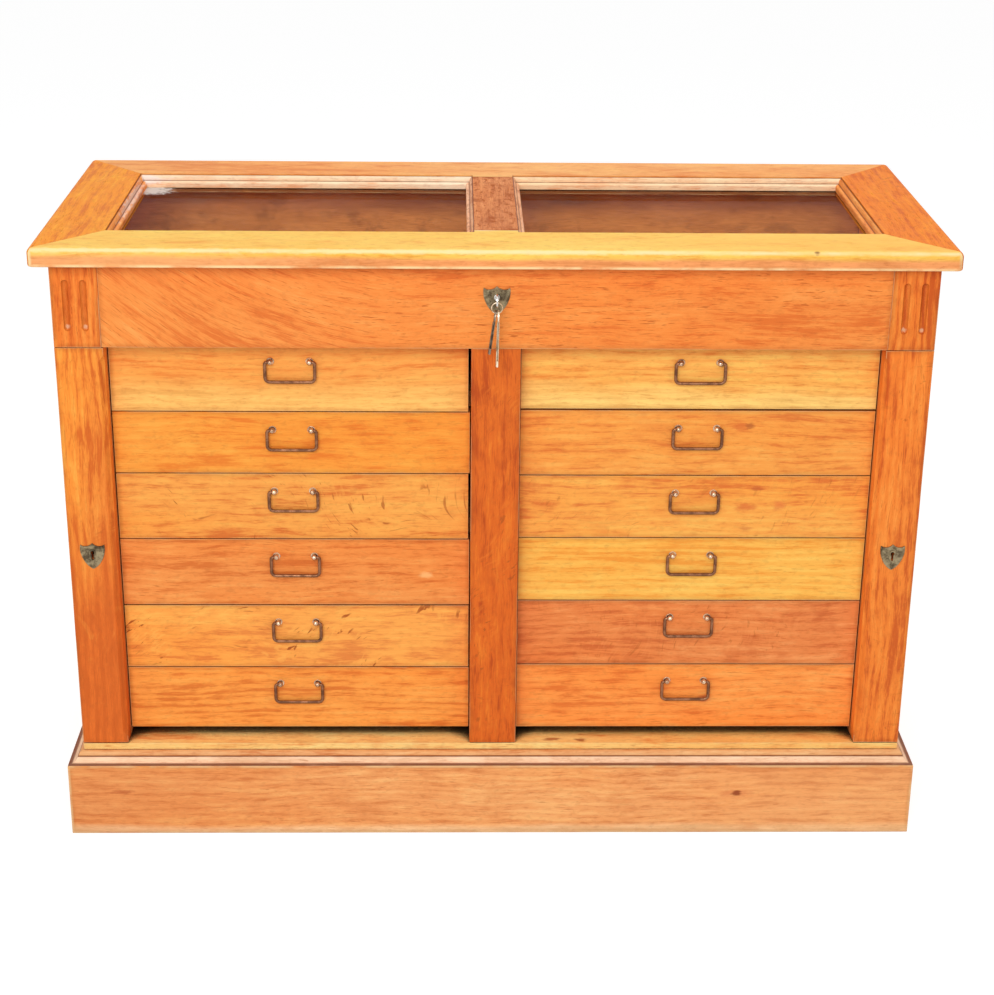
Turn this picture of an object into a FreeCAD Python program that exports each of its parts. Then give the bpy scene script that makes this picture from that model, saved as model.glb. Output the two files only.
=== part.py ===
import FreeCAD, Part
import math
import os

from FreeCAD import Vector

# Oak haberdashery counter: a glazed lift-up lid over a shallow display tray, twelve drawers
# in two columns, and two hinged locking stiles at the ends, on a moulded plinth.
# Millimetres. Origin: centre of the plinth's footprint on the floor. +X right, front towards -Y.

# ---------------------------------------------------------------- driving sizes: the carcass
body_width = 1310.0
body_depth = 544.0
side_board_thickness = 22.0
back_board_thickness = 12.0
back_board_count = 9
back_board_gap = 0.6
hinge_rail_thickness = 22.0
floor_board_thickness = 11.5
apron_height = 129.0
apron_thickness = 22.0
apron_setback = 1.0
display_floor_thickness = 10.0
partition_thickness = 22.0
centre_stile_width = 74.0
post_thickness = 25.0

# ---------------------------------------------------------------- driving sizes: the plinth
plinth_height = 124.0
plinth_projection = 23.5
plinth_board_thickness = 24.0
plinth_edge_round = 2.0
middle_bearer_thickness = 24.0
base_moulding_height = 17.0
base_moulding_inner_width = 30.0
ovolo_radius = 7.0
ovolo_quirk = 0.5
moulding_fillet = 1.2
moulding_lip = 0.8

# ---------------------------------------------------------------- driving sizes: the lid
lid_overhang = 26.0
lid_thickness = 28.5
lid_gap = 0.5
lid_side_rail = 98.0
lid_front_rail = 104.0
lid_back_rail = 103.0
lid_muntin_width = 66.0
lid_corner_radius = 10.0
lid_nosing_radius = 9.0
lid_lower_round = 3.0
glass_lip_width = 10.0
glass_lip_thickness = 4.5
glass_thickness = 3.0
glass_edge_clearance = 1.5
bead_width = 11.0
bead_setdown = 2.0
bead_inner_height = 7.0
bead_lower_round_width = 4.5
bead_lower_round_height = 3.0
bead_slope_width = 1.5
bead_slope_height = 1.4
bead_top_flat = 0.8

# ---------------------------------------------------------------- driving sizes: the drawers
# Shares of the stack run from the top row down: each is a drawer front and the gap under it.
drawer_stack_height = 653.0
left_drawer_shares = (110, 101, 110, 114, 109, 109)
right_drawer_shares = (106, 107, 105, 108, 113, 114)
drawer_gap = 2.5
top_drawer_gap = 3.0
bottom_drawer_gap = 10.5
drawer_end_gap = 1.5
drawer_recess = 32.0
drawer_front_thickness = 22.0
drawer_lap = 14.0
drawer_side_thickness = 9.0
drawer_side_inset = 3.0
drawer_side_drop = 8.0
drawer_back_drop = 14.0
drawer_bottom_thickness = 6.0
drawer_bottom_raise = 4.0
drawer_back_clearance = 12.0
runner_thickness = 9.0
runner_ledge = 4.0
runner_clearance = 0.5
guide_clearance = 1.0
guide_width = 14.0
guide_height = 15.0

# ---------------------------------------------------------------- driving sizes: the drop bails
bail_width = 80.0
bail_drop = 34.0
bail_wire_radius = 2.5
bail_corner_radius = 7.0
bail_shoulder_radius = 3.3
bail_pin_radius = 1.6
bail_pin_clearance = 0.06
bail_pin_reach = 6.0
bail_end_clearance = 0.4
bail_stand_off = 5.5
bail_below_front_top = 28.0
stud_ball_radius = 4.3
stud_neck_radius = 2.8
stud_rose_radius = 6.0
stud_rose_thickness = 1.2
stud_shank_radius = 2.0
stud_nut_radius = 5.0
stud_nut_thickness = 3.0
stud_bore_end_clearance = 1.5

# ---------------------------------------------------------------- driving sizes: hinged stiles
stile_past_block = 2.0
stile_thickness = 30.0
stile_end_gap = 1.0
stile_hinge_gap = 1.0
chamfer_width = 8.0
chamfer_stop_length = 12.0
chamfer_end_margin = 10.0

# ---------------------------------------------------------------- driving sizes: corner blocks
block_width = 70.0
flute_width = 10.0
flute_depth = 4.0
flute_spacing = 26.5
flute_end_margin = 25.0

# ---------------------------------------------------------------- driving sizes: butt hinges
leaf_thickness = 1.5
barrel_radius = 3.0
hinge_pin_radius = 1.5
hinge_pin_clearance = 0.05
knuckle_count = 5
knuckle_gap = 0.4
barrel_relief = 0.5
hinge_seat_ease = 0.4
stile_leaf_width = 13.0
stile_hinge_length = 50.0
stile_hinge_end_distance = 60.0
lid_leaf_width = 24.0
lid_hinge_length = 75.0
lid_hinge_end_distance = 175.0
lid_barrel_stand_off = 0.6
stile_barrel_stand_off = 0.4

# ---------------------------------------------------------------- driving sizes: locks and keys
shield_width = 40.0
shield_height = 39.0
shield_thickness = 1.5
shield_pin_radius = 1.4
shield_rim_height = 0.9
shield_rim_width = 2.2
shield_rim_foot = 1.5
# The shield's outline and pins, as shares of its half width and half height.
shield_shoulder_up = 0.87
shield_scoop_across = 0.45
shield_scoop_up = 0.74
shield_cheek_across = 0.84
shield_cheek_up = -0.25
shield_pin_spots = ((-0.78, 0.7), (0.78, 0.7), (0.0, -0.78))
keyhole_clearance = 0.4
keyhole_slot_clearance = 0.55
key_bit_end_clearance = 0.6
key_above_shield_centre = 4.0
apron_shield_above_middle = 13.0
stile_shield_below_middle = 2.5
lock_wall = 1.5
lid_lock_width = 70.0
lid_lock_height = 75.0
lid_lock_depth = 14.0
link_plate_length = 60.0
link_plate_width = 14.0
lug_spacing = 24.0
lug_thickness = 2.5
lug_width = 8.0
lug_length = 12.5
lug_slot_clearance = 1.0
bolt_thickness = 3.0
bolt_throw = 8.0
bolt_arm_width = 6.0
bolt_tail_reach = 13.0
bolt_tail_below_key = 4.6
bolt_tail_height = 11.4
bit_notch_left = 2.0
bit_notch_right = 4.6
prong_below_carcass_top = 9.0
prong_height = 4.0
prong_clearance = 0.4
prong_tip_gap = 1.0
prong_neck_width = 4.0
prong_bar_height = 6.0
prong_bar_drop = 13.0
key_shank_radius = 2.8
key_bit_reach = 10.0
key_bit_thickness = 2.5
key_bit_width = 4.0
key_collar_radius = 4.2
key_collar_length = 2.5
key_collar_gap = 1.5
bow_radius = 10.0
bow_hole_radius = 6.0
bow_thickness = 2.4
bow_stand_out = 24.0
ring_radius = 8.0
ring_wire_radius = 0.9
ring_hang_clearance = 3.0
spare_bow_radius = 10.0
spare_bow_hole_radius = 7.0
spare_bow_thickness = 2.2
spare_key_side_step = 2.2
spare_key_lengths = (87.0, 68.0)
spare_key_angles = (1.0, 8.0)
spare_stem_radius = 2.2
spare_bit_length = 7.0
spare_bit_height = 9.0
spare_bit_above_tip = 1.5
spare_hang_clearance = 1.2
stile_lock_width = 38.0
stile_lock_height = 60.0
stile_lock_depth = 15.0
stile_lock_clearance = 0.2
stile_bolt_size = 4.0
stile_bolt_length = 28.0
stile_bolt_throw = 7.0
stile_bolt_tail_width = 14.0
stile_bolt_tail_height = 9.0
keeper_size = 20.0
keeper_lug_width = 10.0
keeper_lug_reach = 10.0
keeper_lug_thickness = 2.5
keeper_hole_forward = 1.0
keeper_gap = 2.0
keeper_offset_inward = 7.0
bolt_top_clearance = 3.0

# ---------------------------------------------------------------- for every cut
cutter_overrun = 1.0
edge_tolerance = 0.1

# ---------------------------------------------------------------- places worked out from them
half_width = body_width / 2
plinth_half_width = half_width + plinth_projection
plinth_half_depth = (body_depth + plinth_projection) / 2
back_y = plinth_half_depth
front_y = back_y - body_depth
plinth_front_y = -plinth_half_depth
apron_y = front_y + apron_setback
apron_back_y = apron_y + apron_thickness
inner_back_y = back_y - back_board_thickness
stile_back_y = front_y + stile_thickness
post_face_y = stile_back_y + stile_hinge_gap
post_back_y = post_face_y + post_thickness
drawer_face_y = front_y + drawer_recess
drawer_inner_y = drawer_face_y + drawer_front_thickness
drawer_box_back_y = inner_back_y - drawer_back_clearance

inner_half_width = half_width - side_board_thickness
stile_width = block_width + stile_past_block
opening_half_width = half_width - stile_width
centre_half_width = centre_stile_width / 2
partition_half = partition_thickness / 2

floor_bottom_z = plinth_height + base_moulding_height
floor_top_z = floor_bottom_z + floor_board_thickness
opening_top_z = floor_top_z + bottom_drawer_gap + drawer_stack_height + top_drawer_gap
carcass_top_z = opening_top_z + apron_height
lid_bottom_z = carcass_top_z + lid_gap
lid_top_z = lid_bottom_z + lid_thickness
display_floor_z = opening_top_z + display_floor_thickness

lid_half_width = half_width + lid_overhang
lid_front_y = front_y - lid_overhang
glass_bottom_z = lid_bottom_z + glass_lip_thickness
glass_top_z = glass_bottom_z + glass_thickness

keyhole_radius = key_shank_radius + keyhole_clearance
keyhole_slot_width = key_bit_thickness + 2 * keyhole_slot_clearance
keyhole_slot_depth = key_bit_reach + key_bit_end_clearance

shield_apron_z = opening_top_z + apron_height / 2 + apron_shield_above_middle
lid_key_z = shield_apron_z + key_above_shield_centre
stile_centre_x = half_width - stile_width / 2
stile_bottom_z = floor_top_z + stile_end_gap
stile_top_z = opening_top_z - stile_end_gap
shield_stile_z = (stile_bottom_z + stile_top_z) / 2 - stile_shield_below_middle
stile_key_z = shield_stile_z + key_above_shield_centre
stile_hinge_x = half_width + stile_barrel_stand_off
stile_hinge_y = stile_back_y + stile_hinge_gap / 2
lid_lock_middle_y = apron_back_y + lid_lock_depth / 2
prong_z = carcass_top_z - prong_below_carcass_top
lid_hinge_y = back_y + barrel_radius + lid_barrel_stand_off
lid_hinge_z = carcass_top_z + lid_gap / 2


# ---------------------------------------------------------------- shape helpers
def board(x0, x1, y0, y1, z0, z1):
    return Part.makeBox(x1 - x0, y1 - y0, z1 - z0, Vector(x0, y0, z0))


def rod(radius, start, direction, length):
    return Part.makeCylinder(radius, length, start, direction)


def closed_face(points):
    return Part.Face(Part.makePolygon(points + [points[0]]))


def plan_prism(points, z0, z1):
    """A vertical prism over a plan outline of (x, y) points."""
    outline = [Vector(x, y, z0) for x, y in points]
    return closed_face(outline).extrude(Vector(0, 0, z1 - z0))


def quarter_middle(centre, first, second):
    """The middle of a quarter-round arc, from its centre and its two ends."""
    bend = math.sqrt(0.5)
    return tuple(c + bend * (a - c + b - c) for c, a, b in zip(centre, first, second))


def section_strip(section, place, run):
    """A section of lines and arcs, placed by a function of its two values and extruded along run."""
    edges = []
    for points in section:
        spots = [place(*point) for point in points]
        if len(spots) == 2:
            edges.append(Part.LineSegment(*spots).toShape())
        else:
            edges.append(Part.Arc(*spots).toShape())
    return Part.Face(Part.Wire(edges)).extrude(run)


def mirrored(shape):
    return shape.mirror(Vector(0, 0, 0), Vector(1, 0, 0))


def united(shapes):
    whole = shapes[0]
    for shape in shapes[1:]:
        whole = whole.fuse(shape)
    return whole.removeSplitter()


def save(node, solids):
    shape = solids[0] if len(solids) == 1 else Part.makeCompound(solids)
    shape.exportStep("parts/" + node + ".step")


# ---------------------------------------------------------------- butt hinges
def hinge_knuckles(length, first, leaf_side, leaf_gap, leaf_width):
    """One leaf of a closed hinge. The pin runs up from the origin and the leaf reaches to -X."""
    pitch = length / knuckle_count
    root = barrel_radius + knuckle_gap
    low = leaf_gap / 2
    if leaf_side < 0:
        low = -leaf_gap / 2 - leaf_thickness
    pieces = [board(-leaf_width, -root, low, low + leaf_thickness, 0, length)]
    for index in range(first, knuckle_count, 2):
        bottom = index * pitch + (knuckle_gap / 2 if index else 0)
        top = (index + 1) * pitch - (knuckle_gap / 2 if index < knuckle_count - 1 else 0)
        pieces.append(board(-root, 0, low, low + leaf_thickness, bottom, top))
        pieces.append(rod(barrel_radius, Vector(0, 0, bottom), Vector(0, 0, 1), top - bottom))
    bore = rod(hinge_pin_radius + hinge_pin_clearance, Vector(0, 0, -cutter_overrun), Vector(0, 0, 1),
               length + 2 * cutter_overrun)
    return united(pieces).cut(bore)


def hinge_pin(length):
    return rod(hinge_pin_radius, Vector(0, 0, 0), Vector(0, 0, 1), length)


def hinge_seat(length, leaf_gap, leaf_width):
    """The wood removed for both leaves and for the barrel between them."""
    ease = hinge_seat_ease
    reach = leaf_gap / 2 + leaf_thickness
    relief = barrel_radius + barrel_relief
    leaves = board(-leaf_width - ease, 0, -reach, reach, -ease, length + ease)
    return leaves.fuse(rod(relief, Vector(0, 0, -ease), Vector(0, 0, 1), length + 2 * ease))


def at_stile_hinge(shape, bottom_z):
    placed = shape.copy()
    placed.translate(Vector(stile_hinge_x, stile_hinge_y, bottom_z))
    return placed


def at_lid_hinge(shape, centre_x):
    """Turns a hinge so that its pin lies along X and its fixed leaf lies underneath."""
    turn = FreeCAD.Matrix(0, 0, -1, centre_x + lid_hinge_length / 2,
                          1, 0, 0, lid_hinge_y,
                          0, -1, 0, lid_hinge_z,
                          0, 0, 0, 1)
    placed = shape.copy()
    placed.Placement = FreeCAD.Placement(turn)
    return placed


stile_hinge_bottoms = (
    stile_bottom_z + stile_hinge_end_distance,
    (stile_bottom_z + stile_top_z - stile_hinge_length) / 2,
    stile_top_z - stile_hinge_end_distance - stile_hinge_length,
)
lid_hinge_centres = (-half_width + lid_hinge_end_distance, 0.0, half_width - lid_hinge_end_distance)

stile_seat = hinge_seat(stile_hinge_length, stile_hinge_gap, stile_leaf_width)
stile_seats = Part.makeCompound([at_stile_hinge(stile_seat, z) for z in stile_hinge_bottoms])
lid_seat = hinge_seat(lid_hinge_length, lid_gap, lid_leaf_width)
lid_seats = Part.makeCompound([at_lid_hinge(lid_seat, x) for x in lid_hinge_centres])


# ---------------------------------------------------------------- the carcass
def carcass_sides():
    """Two end boards, and the fixed posts behind the hinged stiles."""
    end_board = board(inner_half_width, half_width, post_face_y, back_y, floor_top_z, carcass_top_z)
    end_board = end_board.cut(stile_seats)
    post = board(opening_half_width, inner_half_width, post_face_y, post_back_y,
                 floor_top_z, opening_top_z)
    post = post.cut(keeper_seat())
    return [end_board, mirrored(end_board), post, mirrored(post)]


def back_panel():
    """Upright back boards, and the tray's rear wall, which is a rail for the lid's hinges."""
    pitch = 2 * inner_half_width / back_board_count
    boards = []
    for index in range(back_board_count):
        left = -inner_half_width + index * pitch
        right = left + pitch - (back_board_gap if index < back_board_count - 1 else 0)
        upright = board(left, right, inner_back_y, back_y, floor_top_z, carcass_top_z)
        boards.append(upright.cut(lid_seats))
    rail = board(-inner_half_width, inner_half_width, inner_back_y - hinge_rail_thickness, inner_back_y,
                 display_floor_z, carcass_top_z)
    return boards + [rail.cut(lid_seats)]


def floor_board():
    return board(-half_width, half_width, front_y, back_y, floor_bottom_z, floor_top_z)


def centre_divider():
    """The partition between the columns and the fixed centre stile in front of it."""
    partition = board(-partition_half, partition_half, post_back_y, inner_back_y,
                      floor_top_z, opening_top_z)
    stile = board(-centre_half_width, centre_half_width, apron_y, post_back_y,
                  floor_top_z, opening_top_z)
    return [partition, stile]


def display_floor():
    """The floor of the display tray, notched round the corner blocks."""
    tray_floor = board(-inner_half_width, inner_half_width, apron_back_y, inner_back_y,
                       opening_top_z, display_floor_z)
    return tray_floor.cut(corner_block()).cut(mirrored(corner_block()))


def keyhole(centre_x, key_z, y0, y1):
    """A round hole with a slot below it for the key's bit."""
    hole = rod(keyhole_radius, Vector(centre_x, y0, key_z), Vector(0, 1, 0), y1 - y0)
    half_slot = keyhole_slot_width / 2
    slot = board(centre_x - half_slot, centre_x + half_slot, y0, y1, key_z - keyhole_slot_depth, key_z)
    return hole.fuse(slot)


def apron():
    front = board(-half_width + block_width, half_width - block_width, apron_y, apron_back_y,
                  opening_top_z, carcass_top_z)
    return front.cut(keyhole(0, lid_key_z, apron_y - cutter_overrun, apron_back_y + cutter_overrun))


def corner_block():
    """The right corner block, with two stopped flutes."""
    block = board(half_width - block_width, half_width, front_y, post_face_y, opening_top_z, carcass_top_z)
    cutter = (flute_width ** 2 / 4 + flute_depth ** 2) / (2 * flute_depth)
    axis_y = front_y + flute_depth - cutter
    low_z = opening_top_z + flute_end_margin + cutter
    high_z = carcass_top_z - flute_end_margin - cutter
    for side in (-1, 1):
        x = half_width - block_width / 2 + side * flute_spacing / 2
        flute = rod(cutter, Vector(x, axis_y, low_z), Vector(0, 0, 1), high_z - low_z)
        flute = flute.fuse(Part.makeSphere(cutter, Vector(x, axis_y, low_z)))
        flute = flute.fuse(Part.makeSphere(cutter, Vector(x, axis_y, high_z)))
        block = block.cut(flute)
    return block


# ---------------------------------------------------------------- the drawer rows
def drawer_rows(shares):
    """The bottom and top height of each drawer front in a column, from the top row down."""
    rows = []
    top_z = opening_top_z - top_drawer_gap
    for share in shares:
        pitch = drawer_stack_height * share / sum(shares)
        rows.append((top_z - pitch + drawer_gap, top_z))
        top_z -= pitch
    return rows


drawer_columns = {
    "left": (-1, drawer_rows(left_drawer_shares)),
    "right": (1, drawer_rows(right_drawer_shares)),
}
drawer_inner_x = centre_half_width + drawer_end_gap
drawer_outer_x = opening_half_width - drawer_end_gap


def drawer_runners():
    """An oak runner under each side of every drawer, and the guide glued on it beside the drawer."""
    runners = []
    for side, rows in drawer_columns.values():
        for bottom_z, _ in rows:
            for wall_x, box_x in ((inner_half_width, drawer_outer_x - drawer_side_inset),
                                  (partition_half, drawer_inner_x + drawer_side_inset)):
                away = 1 if wall_x > box_x else -1
                ledge_x = box_x - away * (drawer_side_thickness + runner_ledge)
                guide_x = box_x + away * guide_clearance
                runner_top_z = bottom_z + runner_thickness
                x0, x1 = sorted((side * wall_x, side * ledge_x))
                runners.append(board(x0, x1, post_back_y, inner_back_y, bottom_z, runner_top_z))
                x0, x1 = sorted((side * guide_x, side * (guide_x + away * guide_width)))
                runners.append(board(x0, x1, post_back_y, inner_back_y, runner_top_z,
                                     runner_top_z + guide_height))
    return runners


# ---------------------------------------------------------------- the plinth and its moulding
def plinth_boards():
    """Front, ends and back of the plinth, and the bearer under the middle of the floor board."""
    outer, depth = plinth_half_width, plinth_board_thickness
    front_outline = [(-outer, plinth_front_y), (outer, plinth_front_y),
                     (outer - depth, plinth_front_y + depth), (-outer + depth, plinth_front_y + depth)]
    end_outline = [(outer, plinth_front_y), (outer, back_y),
                   (outer - depth, back_y), (outer - depth, plinth_front_y + depth)]
    rounding = board(-outer, outer, plinth_front_y, back_y, 0, plinth_height)
    upper = [edge for edge in rounding.Edges
             if edge.BoundBox.ZMin > plinth_height - edge_tolerance
             and edge.BoundBox.YMin < back_y - edge_tolerance]
    rounding = rounding.makeFillet(plinth_edge_round, upper)
    front = rounding.common(plan_prism(front_outline, 0, plinth_height))
    end = rounding.common(plan_prism(end_outline, 0, plinth_height))
    back = board(-outer + depth, outer - depth, back_y - depth, back_y, 0, floor_bottom_z)
    half_bearer = middle_bearer_thickness / 2
    bearer = board(-half_bearer, half_bearer, plinth_front_y + depth, back_y - depth, 0, plinth_height)
    raised = board(-half_bearer, half_bearer, front_y + base_moulding_inner_width, back_y - depth,
                   plinth_height, floor_bottom_z)
    return [front, end, mirrored(end), back, united([bearer, raised])]


def moulding_section():
    """The base moulding's section as (projection, height) edges: ovolo, fillet and cove."""
    top_z, low_z = floor_bottom_z, plinth_height
    ovolo_foot_z = top_z - ovolo_radius
    ovolo_x = ovolo_quirk + ovolo_radius
    cove_top = (ovolo_x + moulding_fillet, ovolo_foot_z - moulding_fillet)
    cove_foot = (plinth_projection - moulding_lip, low_z + moulding_lip)
    cove_middle = quarter_middle((cove_foot[0], cove_top[1]), cove_foot, cove_top)
    ovolo_foot, ovolo_top = (ovolo_x, ovolo_foot_z), (ovolo_quirk, top_z)
    ovolo_middle = quarter_middle((ovolo_quirk, ovolo_foot_z), ovolo_foot, ovolo_top)
    inner_x = -base_moulding_inner_width
    return [
        ((inner_x, low_z), (cove_foot[0], low_z)),
        ((cove_foot[0], low_z), cove_foot),
        (cove_foot, cove_middle, cove_top),
        (cove_top, (cove_top[0], ovolo_foot_z)),
        ((cove_top[0], ovolo_foot_z), ovolo_foot),
        (ovolo_foot, ovolo_middle, ovolo_top),
        (ovolo_top, (inner_x, top_z)),
        ((inner_x, top_z), (inner_x, low_z)),
    ]


def plinth_moulding():
    """Three strips, mitred at the front corners, that lie on the plinth and carry the floor board."""
    outer, inner = plinth_half_width, half_width - base_moulding_inner_width
    inner_y = front_y + base_moulding_inner_width
    section = moulding_section()
    front = section_strip(section, lambda out, z: Vector(-outer, front_y - out, z), Vector(2 * outer, 0, 0))
    end = section_strip(section, lambda out, z: Vector(half_width + out, plinth_front_y, z),
                        Vector(0, back_y - plinth_front_y, 0))
    front_outline = [(-outer, plinth_front_y), (outer, plinth_front_y), (inner, inner_y), (-inner, inner_y)]
    end_outline = [(outer, plinth_front_y), (outer, back_y - plinth_board_thickness),
                   (inner, back_y - plinth_board_thickness), (inner, inner_y)]
    tail_outline = [(outer, back_y - plinth_board_thickness), (outer, back_y),
                    (outer - plinth_board_thickness, back_y),
                    (outer - plinth_board_thickness, back_y - plinth_board_thickness)]
    front = front.common(plan_prism(front_outline, plinth_height, floor_bottom_z))
    end_region = plan_prism(end_outline, plinth_height, floor_bottom_z)
    end_region = end_region.fuse(plan_prism(tail_outline, plinth_height, floor_bottom_z))
    end = end.common(end_region).removeSplitter()
    return [front, end, mirrored(end)]


# ---------------------------------------------------------------- shields, locks and bolts
def shield(centre_x, centre_z, key_z, back_face_y):
    """A shield escutcheon with a raised rim round its keyhole, and its three pins."""
    half, rise = shield_width / 2, shield_height / 2
    front_face_y = back_face_y - shield_thickness
    shoulder, cheek = shield_shoulder_up, shield_cheek_across

    def spot(along, up):
        return Vector(centre_x + along * half, front_face_y, centre_z + up * rise)

    corners = (spot(-1, shoulder), spot(0, 1), spot(1, shoulder), spot(0, -1))
    edges = [
        Part.Arc(corners[0], spot(-shield_scoop_across, shield_scoop_up), corners[1]).toShape(),
        Part.Arc(corners[1], spot(shield_scoop_across, shield_scoop_up), corners[2]).toShape(),
        Part.Arc(corners[2], spot(cheek, shield_cheek_up), corners[3]).toShape(),
        Part.Arc(corners[3], spot(-cheek, shield_cheek_up), corners[0]).toShape(),
    ]
    plate = Part.Face(Part.Wire(edges)).extrude(Vector(0, shield_thickness, 0))
    rim_y = front_face_y - shield_rim_height
    rim_half = keyhole_radius + shield_rim_width
    rim_low_z = key_z - keyhole_slot_depth - shield_rim_foot + rim_half
    rim = rod(rim_half, Vector(centre_x, rim_y, key_z), Vector(0, 1, 0), shield_rim_height)
    rim = rim.fuse(rod(rim_half, Vector(centre_x, rim_y, rim_low_z), Vector(0, 1, 0), shield_rim_height))
    rim = rim.fuse(board(centre_x - rim_half, centre_x + rim_half, rim_y, front_face_y, rim_low_z, key_z))
    plate = plate.fuse(rim).removeSplitter()
    plate = plate.cut(keyhole(centre_x, key_z, rim_y - cutter_overrun, back_face_y + cutter_overrun))
    pins = []
    for along, up in shield_pin_spots:
        seat = spot(along, up)
        head = Part.makeSphere(shield_pin_radius, seat)
        pins.append(head)
        plate = plate.cut(head)
    return [plate] + pins


def lid_lock_case():
    """The chest lock behind the apron: a closed case with two slots in its top."""
    half, low_z = lid_lock_width / 2, carcass_top_z - lid_lock_height
    rear_y = apron_back_y + lid_lock_depth
    case = board(-half, half, apron_back_y, rear_y, low_z, carcass_top_z)
    case = case.cut(board(-half + lock_wall, half - lock_wall, apron_back_y + lock_wall, rear_y - lock_wall,
                          low_z + lock_wall, carcass_top_z - lock_wall))
    case = case.cut(keyhole(0, lid_key_z, apron_back_y - cutter_overrun,
                            apron_back_y + lock_wall + cutter_overrun))
    half_slot = lug_thickness / 2 + lug_slot_clearance
    half_reach = lug_width / 2 + lug_slot_clearance
    for side in (-1, 1):
        x = side * lug_spacing / 2
        case = case.cut(board(x - half_slot, x + half_slot, lid_lock_middle_y - half_reach,
                              lid_lock_middle_y + half_reach,
                              carcass_top_z - lock_wall - cutter_overrun, carcass_top_z + cutter_overrun))
    return case


def lid_bolt():
    """A C-shaped bolt plate: a tail that the key's bit drives, and two prongs for the link plate."""
    y0 = lid_lock_middle_y - bolt_thickness / 2
    y1 = y0 + bolt_thickness
    tips = [side * lug_spacing / 2 - lug_thickness / 2 - prong_tip_gap for side in (-1, 1)]
    roots = [tip_x - bolt_throw - prong_neck_width for tip_x in tips]
    left_x = roots[0]
    tail_top_z = lid_key_z - bolt_tail_below_key
    tail_low_z = tail_top_z - bolt_tail_height
    bar_low_z = prong_z - prong_bar_drop
    bar_top_z = bar_low_z + prong_bar_height
    tail = board(left_x, bolt_tail_reach, y0, y1, tail_low_z, tail_top_z)
    notch = board(-bit_notch_left, bit_notch_right, y0, y1,
                  lid_key_z - key_bit_reach - key_bit_end_clearance, tail_top_z)
    arm = board(left_x, left_x + bolt_arm_width, y0, y1, tail_low_z, bar_top_z)
    bar = board(left_x, roots[1] + prong_neck_width, y0, y1, bar_low_z, bar_top_z)
    pieces = [tail.cut(notch), arm, bar]
    low_z, high_z = prong_z - prong_height / 2, prong_z + prong_height / 2
    for root_x, tip_x in zip(roots, tips):
        pieces.append(board(root_x, root_x + prong_neck_width, y0, y1, bar_low_z, high_z))
        pieces.append(board(root_x, tip_x, y0, y1, low_z, high_z))
    return united(pieces)


def link_plate_seat():
    half = link_plate_length / 2
    half_across = link_plate_width / 2
    return board(-half, half, lid_lock_middle_y - half_across, lid_lock_middle_y + half_across,
                 lid_bottom_z, lid_bottom_z + leaf_thickness)


def link_plate():
    """The plate under the lid's front rail, with two pierced lugs that drop into the lock."""
    plate = link_plate_seat()
    hole_half_y = bolt_thickness / 2 + prong_clearance
    hole_half_z = prong_height / 2 + prong_clearance
    for side in (-1, 1):
        x = side * lug_spacing / 2
        lug = board(x - lug_thickness / 2, x + lug_thickness / 2, lid_lock_middle_y - lug_width / 2,
                    lid_lock_middle_y + lug_width / 2, lid_bottom_z - lug_length, lid_bottom_z)
        hole = board(x - lug_thickness, x + lug_thickness, lid_lock_middle_y - hole_half_y,
                     lid_lock_middle_y + hole_half_y, prong_z - hole_half_z, prong_z + hole_half_z)
        plate = plate.fuse(lug.cut(hole))
    return plate.removeSplitter()


def stile_lock_pocket(clearance):
    """The mortise in the right stile's back, or with no clearance the lock's own outline."""
    half = stile_lock_width / 2 + clearance
    rise = stile_lock_height / 2 + clearance
    return board(stile_centre_x - half, stile_centre_x + half, stile_back_y - stile_lock_depth - clearance,
                 stile_back_y, shield_stile_z - rise, shield_stile_z + rise)


def stile_lock_case():
    """A tray-shaped lock case, open towards the post behind the stile."""
    half = stile_lock_width / 2 - lock_wall
    rise = stile_lock_height / 2 - lock_wall
    front = stile_back_y - stile_lock_depth
    inside = board(stile_centre_x - half, stile_centre_x + half, front + lock_wall, stile_back_y,
                   shield_stile_z - rise, shield_stile_z + rise)
    return stile_lock_pocket(0).cut(inside).cut(keyhole(stile_centre_x, stile_key_z, front - cutter_overrun,
                                                        front + lock_wall + cutter_overrun))


keeper_x = stile_centre_x - keeper_offset_inward
keeper_lug_y = post_face_y - keeper_lug_reach / 2 - keeper_hole_forward
keeper_lug_z = shield_stile_z + stile_lock_height / 2 - lock_wall - stile_bolt_throw - bolt_top_clearance


def keeper_seat():
    half = keeper_size / 2
    return board(keeper_x - half, keeper_x + half, post_face_y, post_face_y + leaf_thickness,
                 keeper_lug_z - half, keeper_lug_z + half)


def keeper():
    """The staple plate on the post, with a pierced lug that enters the stile's lock."""
    half_lug = keeper_lug_width / 2
    lug = board(keeper_x - half_lug, keeper_x + half_lug, post_face_y - keeper_lug_reach, post_face_y,
                keeper_lug_z - keeper_lug_thickness / 2, keeper_lug_z + keeper_lug_thickness / 2)
    half_hole = stile_bolt_size / 2 + prong_clearance
    hole = board(keeper_x - half_hole, keeper_x + half_hole, keeper_lug_y - half_hole,
                 keeper_lug_y + half_hole, keeper_lug_z - keeper_lug_thickness,
                 keeper_lug_z + keeper_lug_thickness)
    return keeper_seat().fuse(lug.cut(hole)).removeSplitter()


def stile_bolt():
    """The right stile's bolt: a bar below the staple's lug, with the tail that a key lifts."""
    half = stile_bolt_size / 2
    tip_z = keeper_lug_z - keeper_lug_thickness / 2 - keeper_gap
    bar = board(keeper_x - half, keeper_x + half, keeper_lug_y - half, keeper_lug_y + half,
                tip_z - stile_bolt_length, tip_z)
    tail = board(keeper_x - half, keeper_x - half + stile_bolt_tail_width, keeper_lug_y - half,
                 keeper_lug_y + half, tip_z - stile_bolt_length,
                 tip_z - stile_bolt_length + stile_bolt_tail_height)
    return united([bar, tail])


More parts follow.
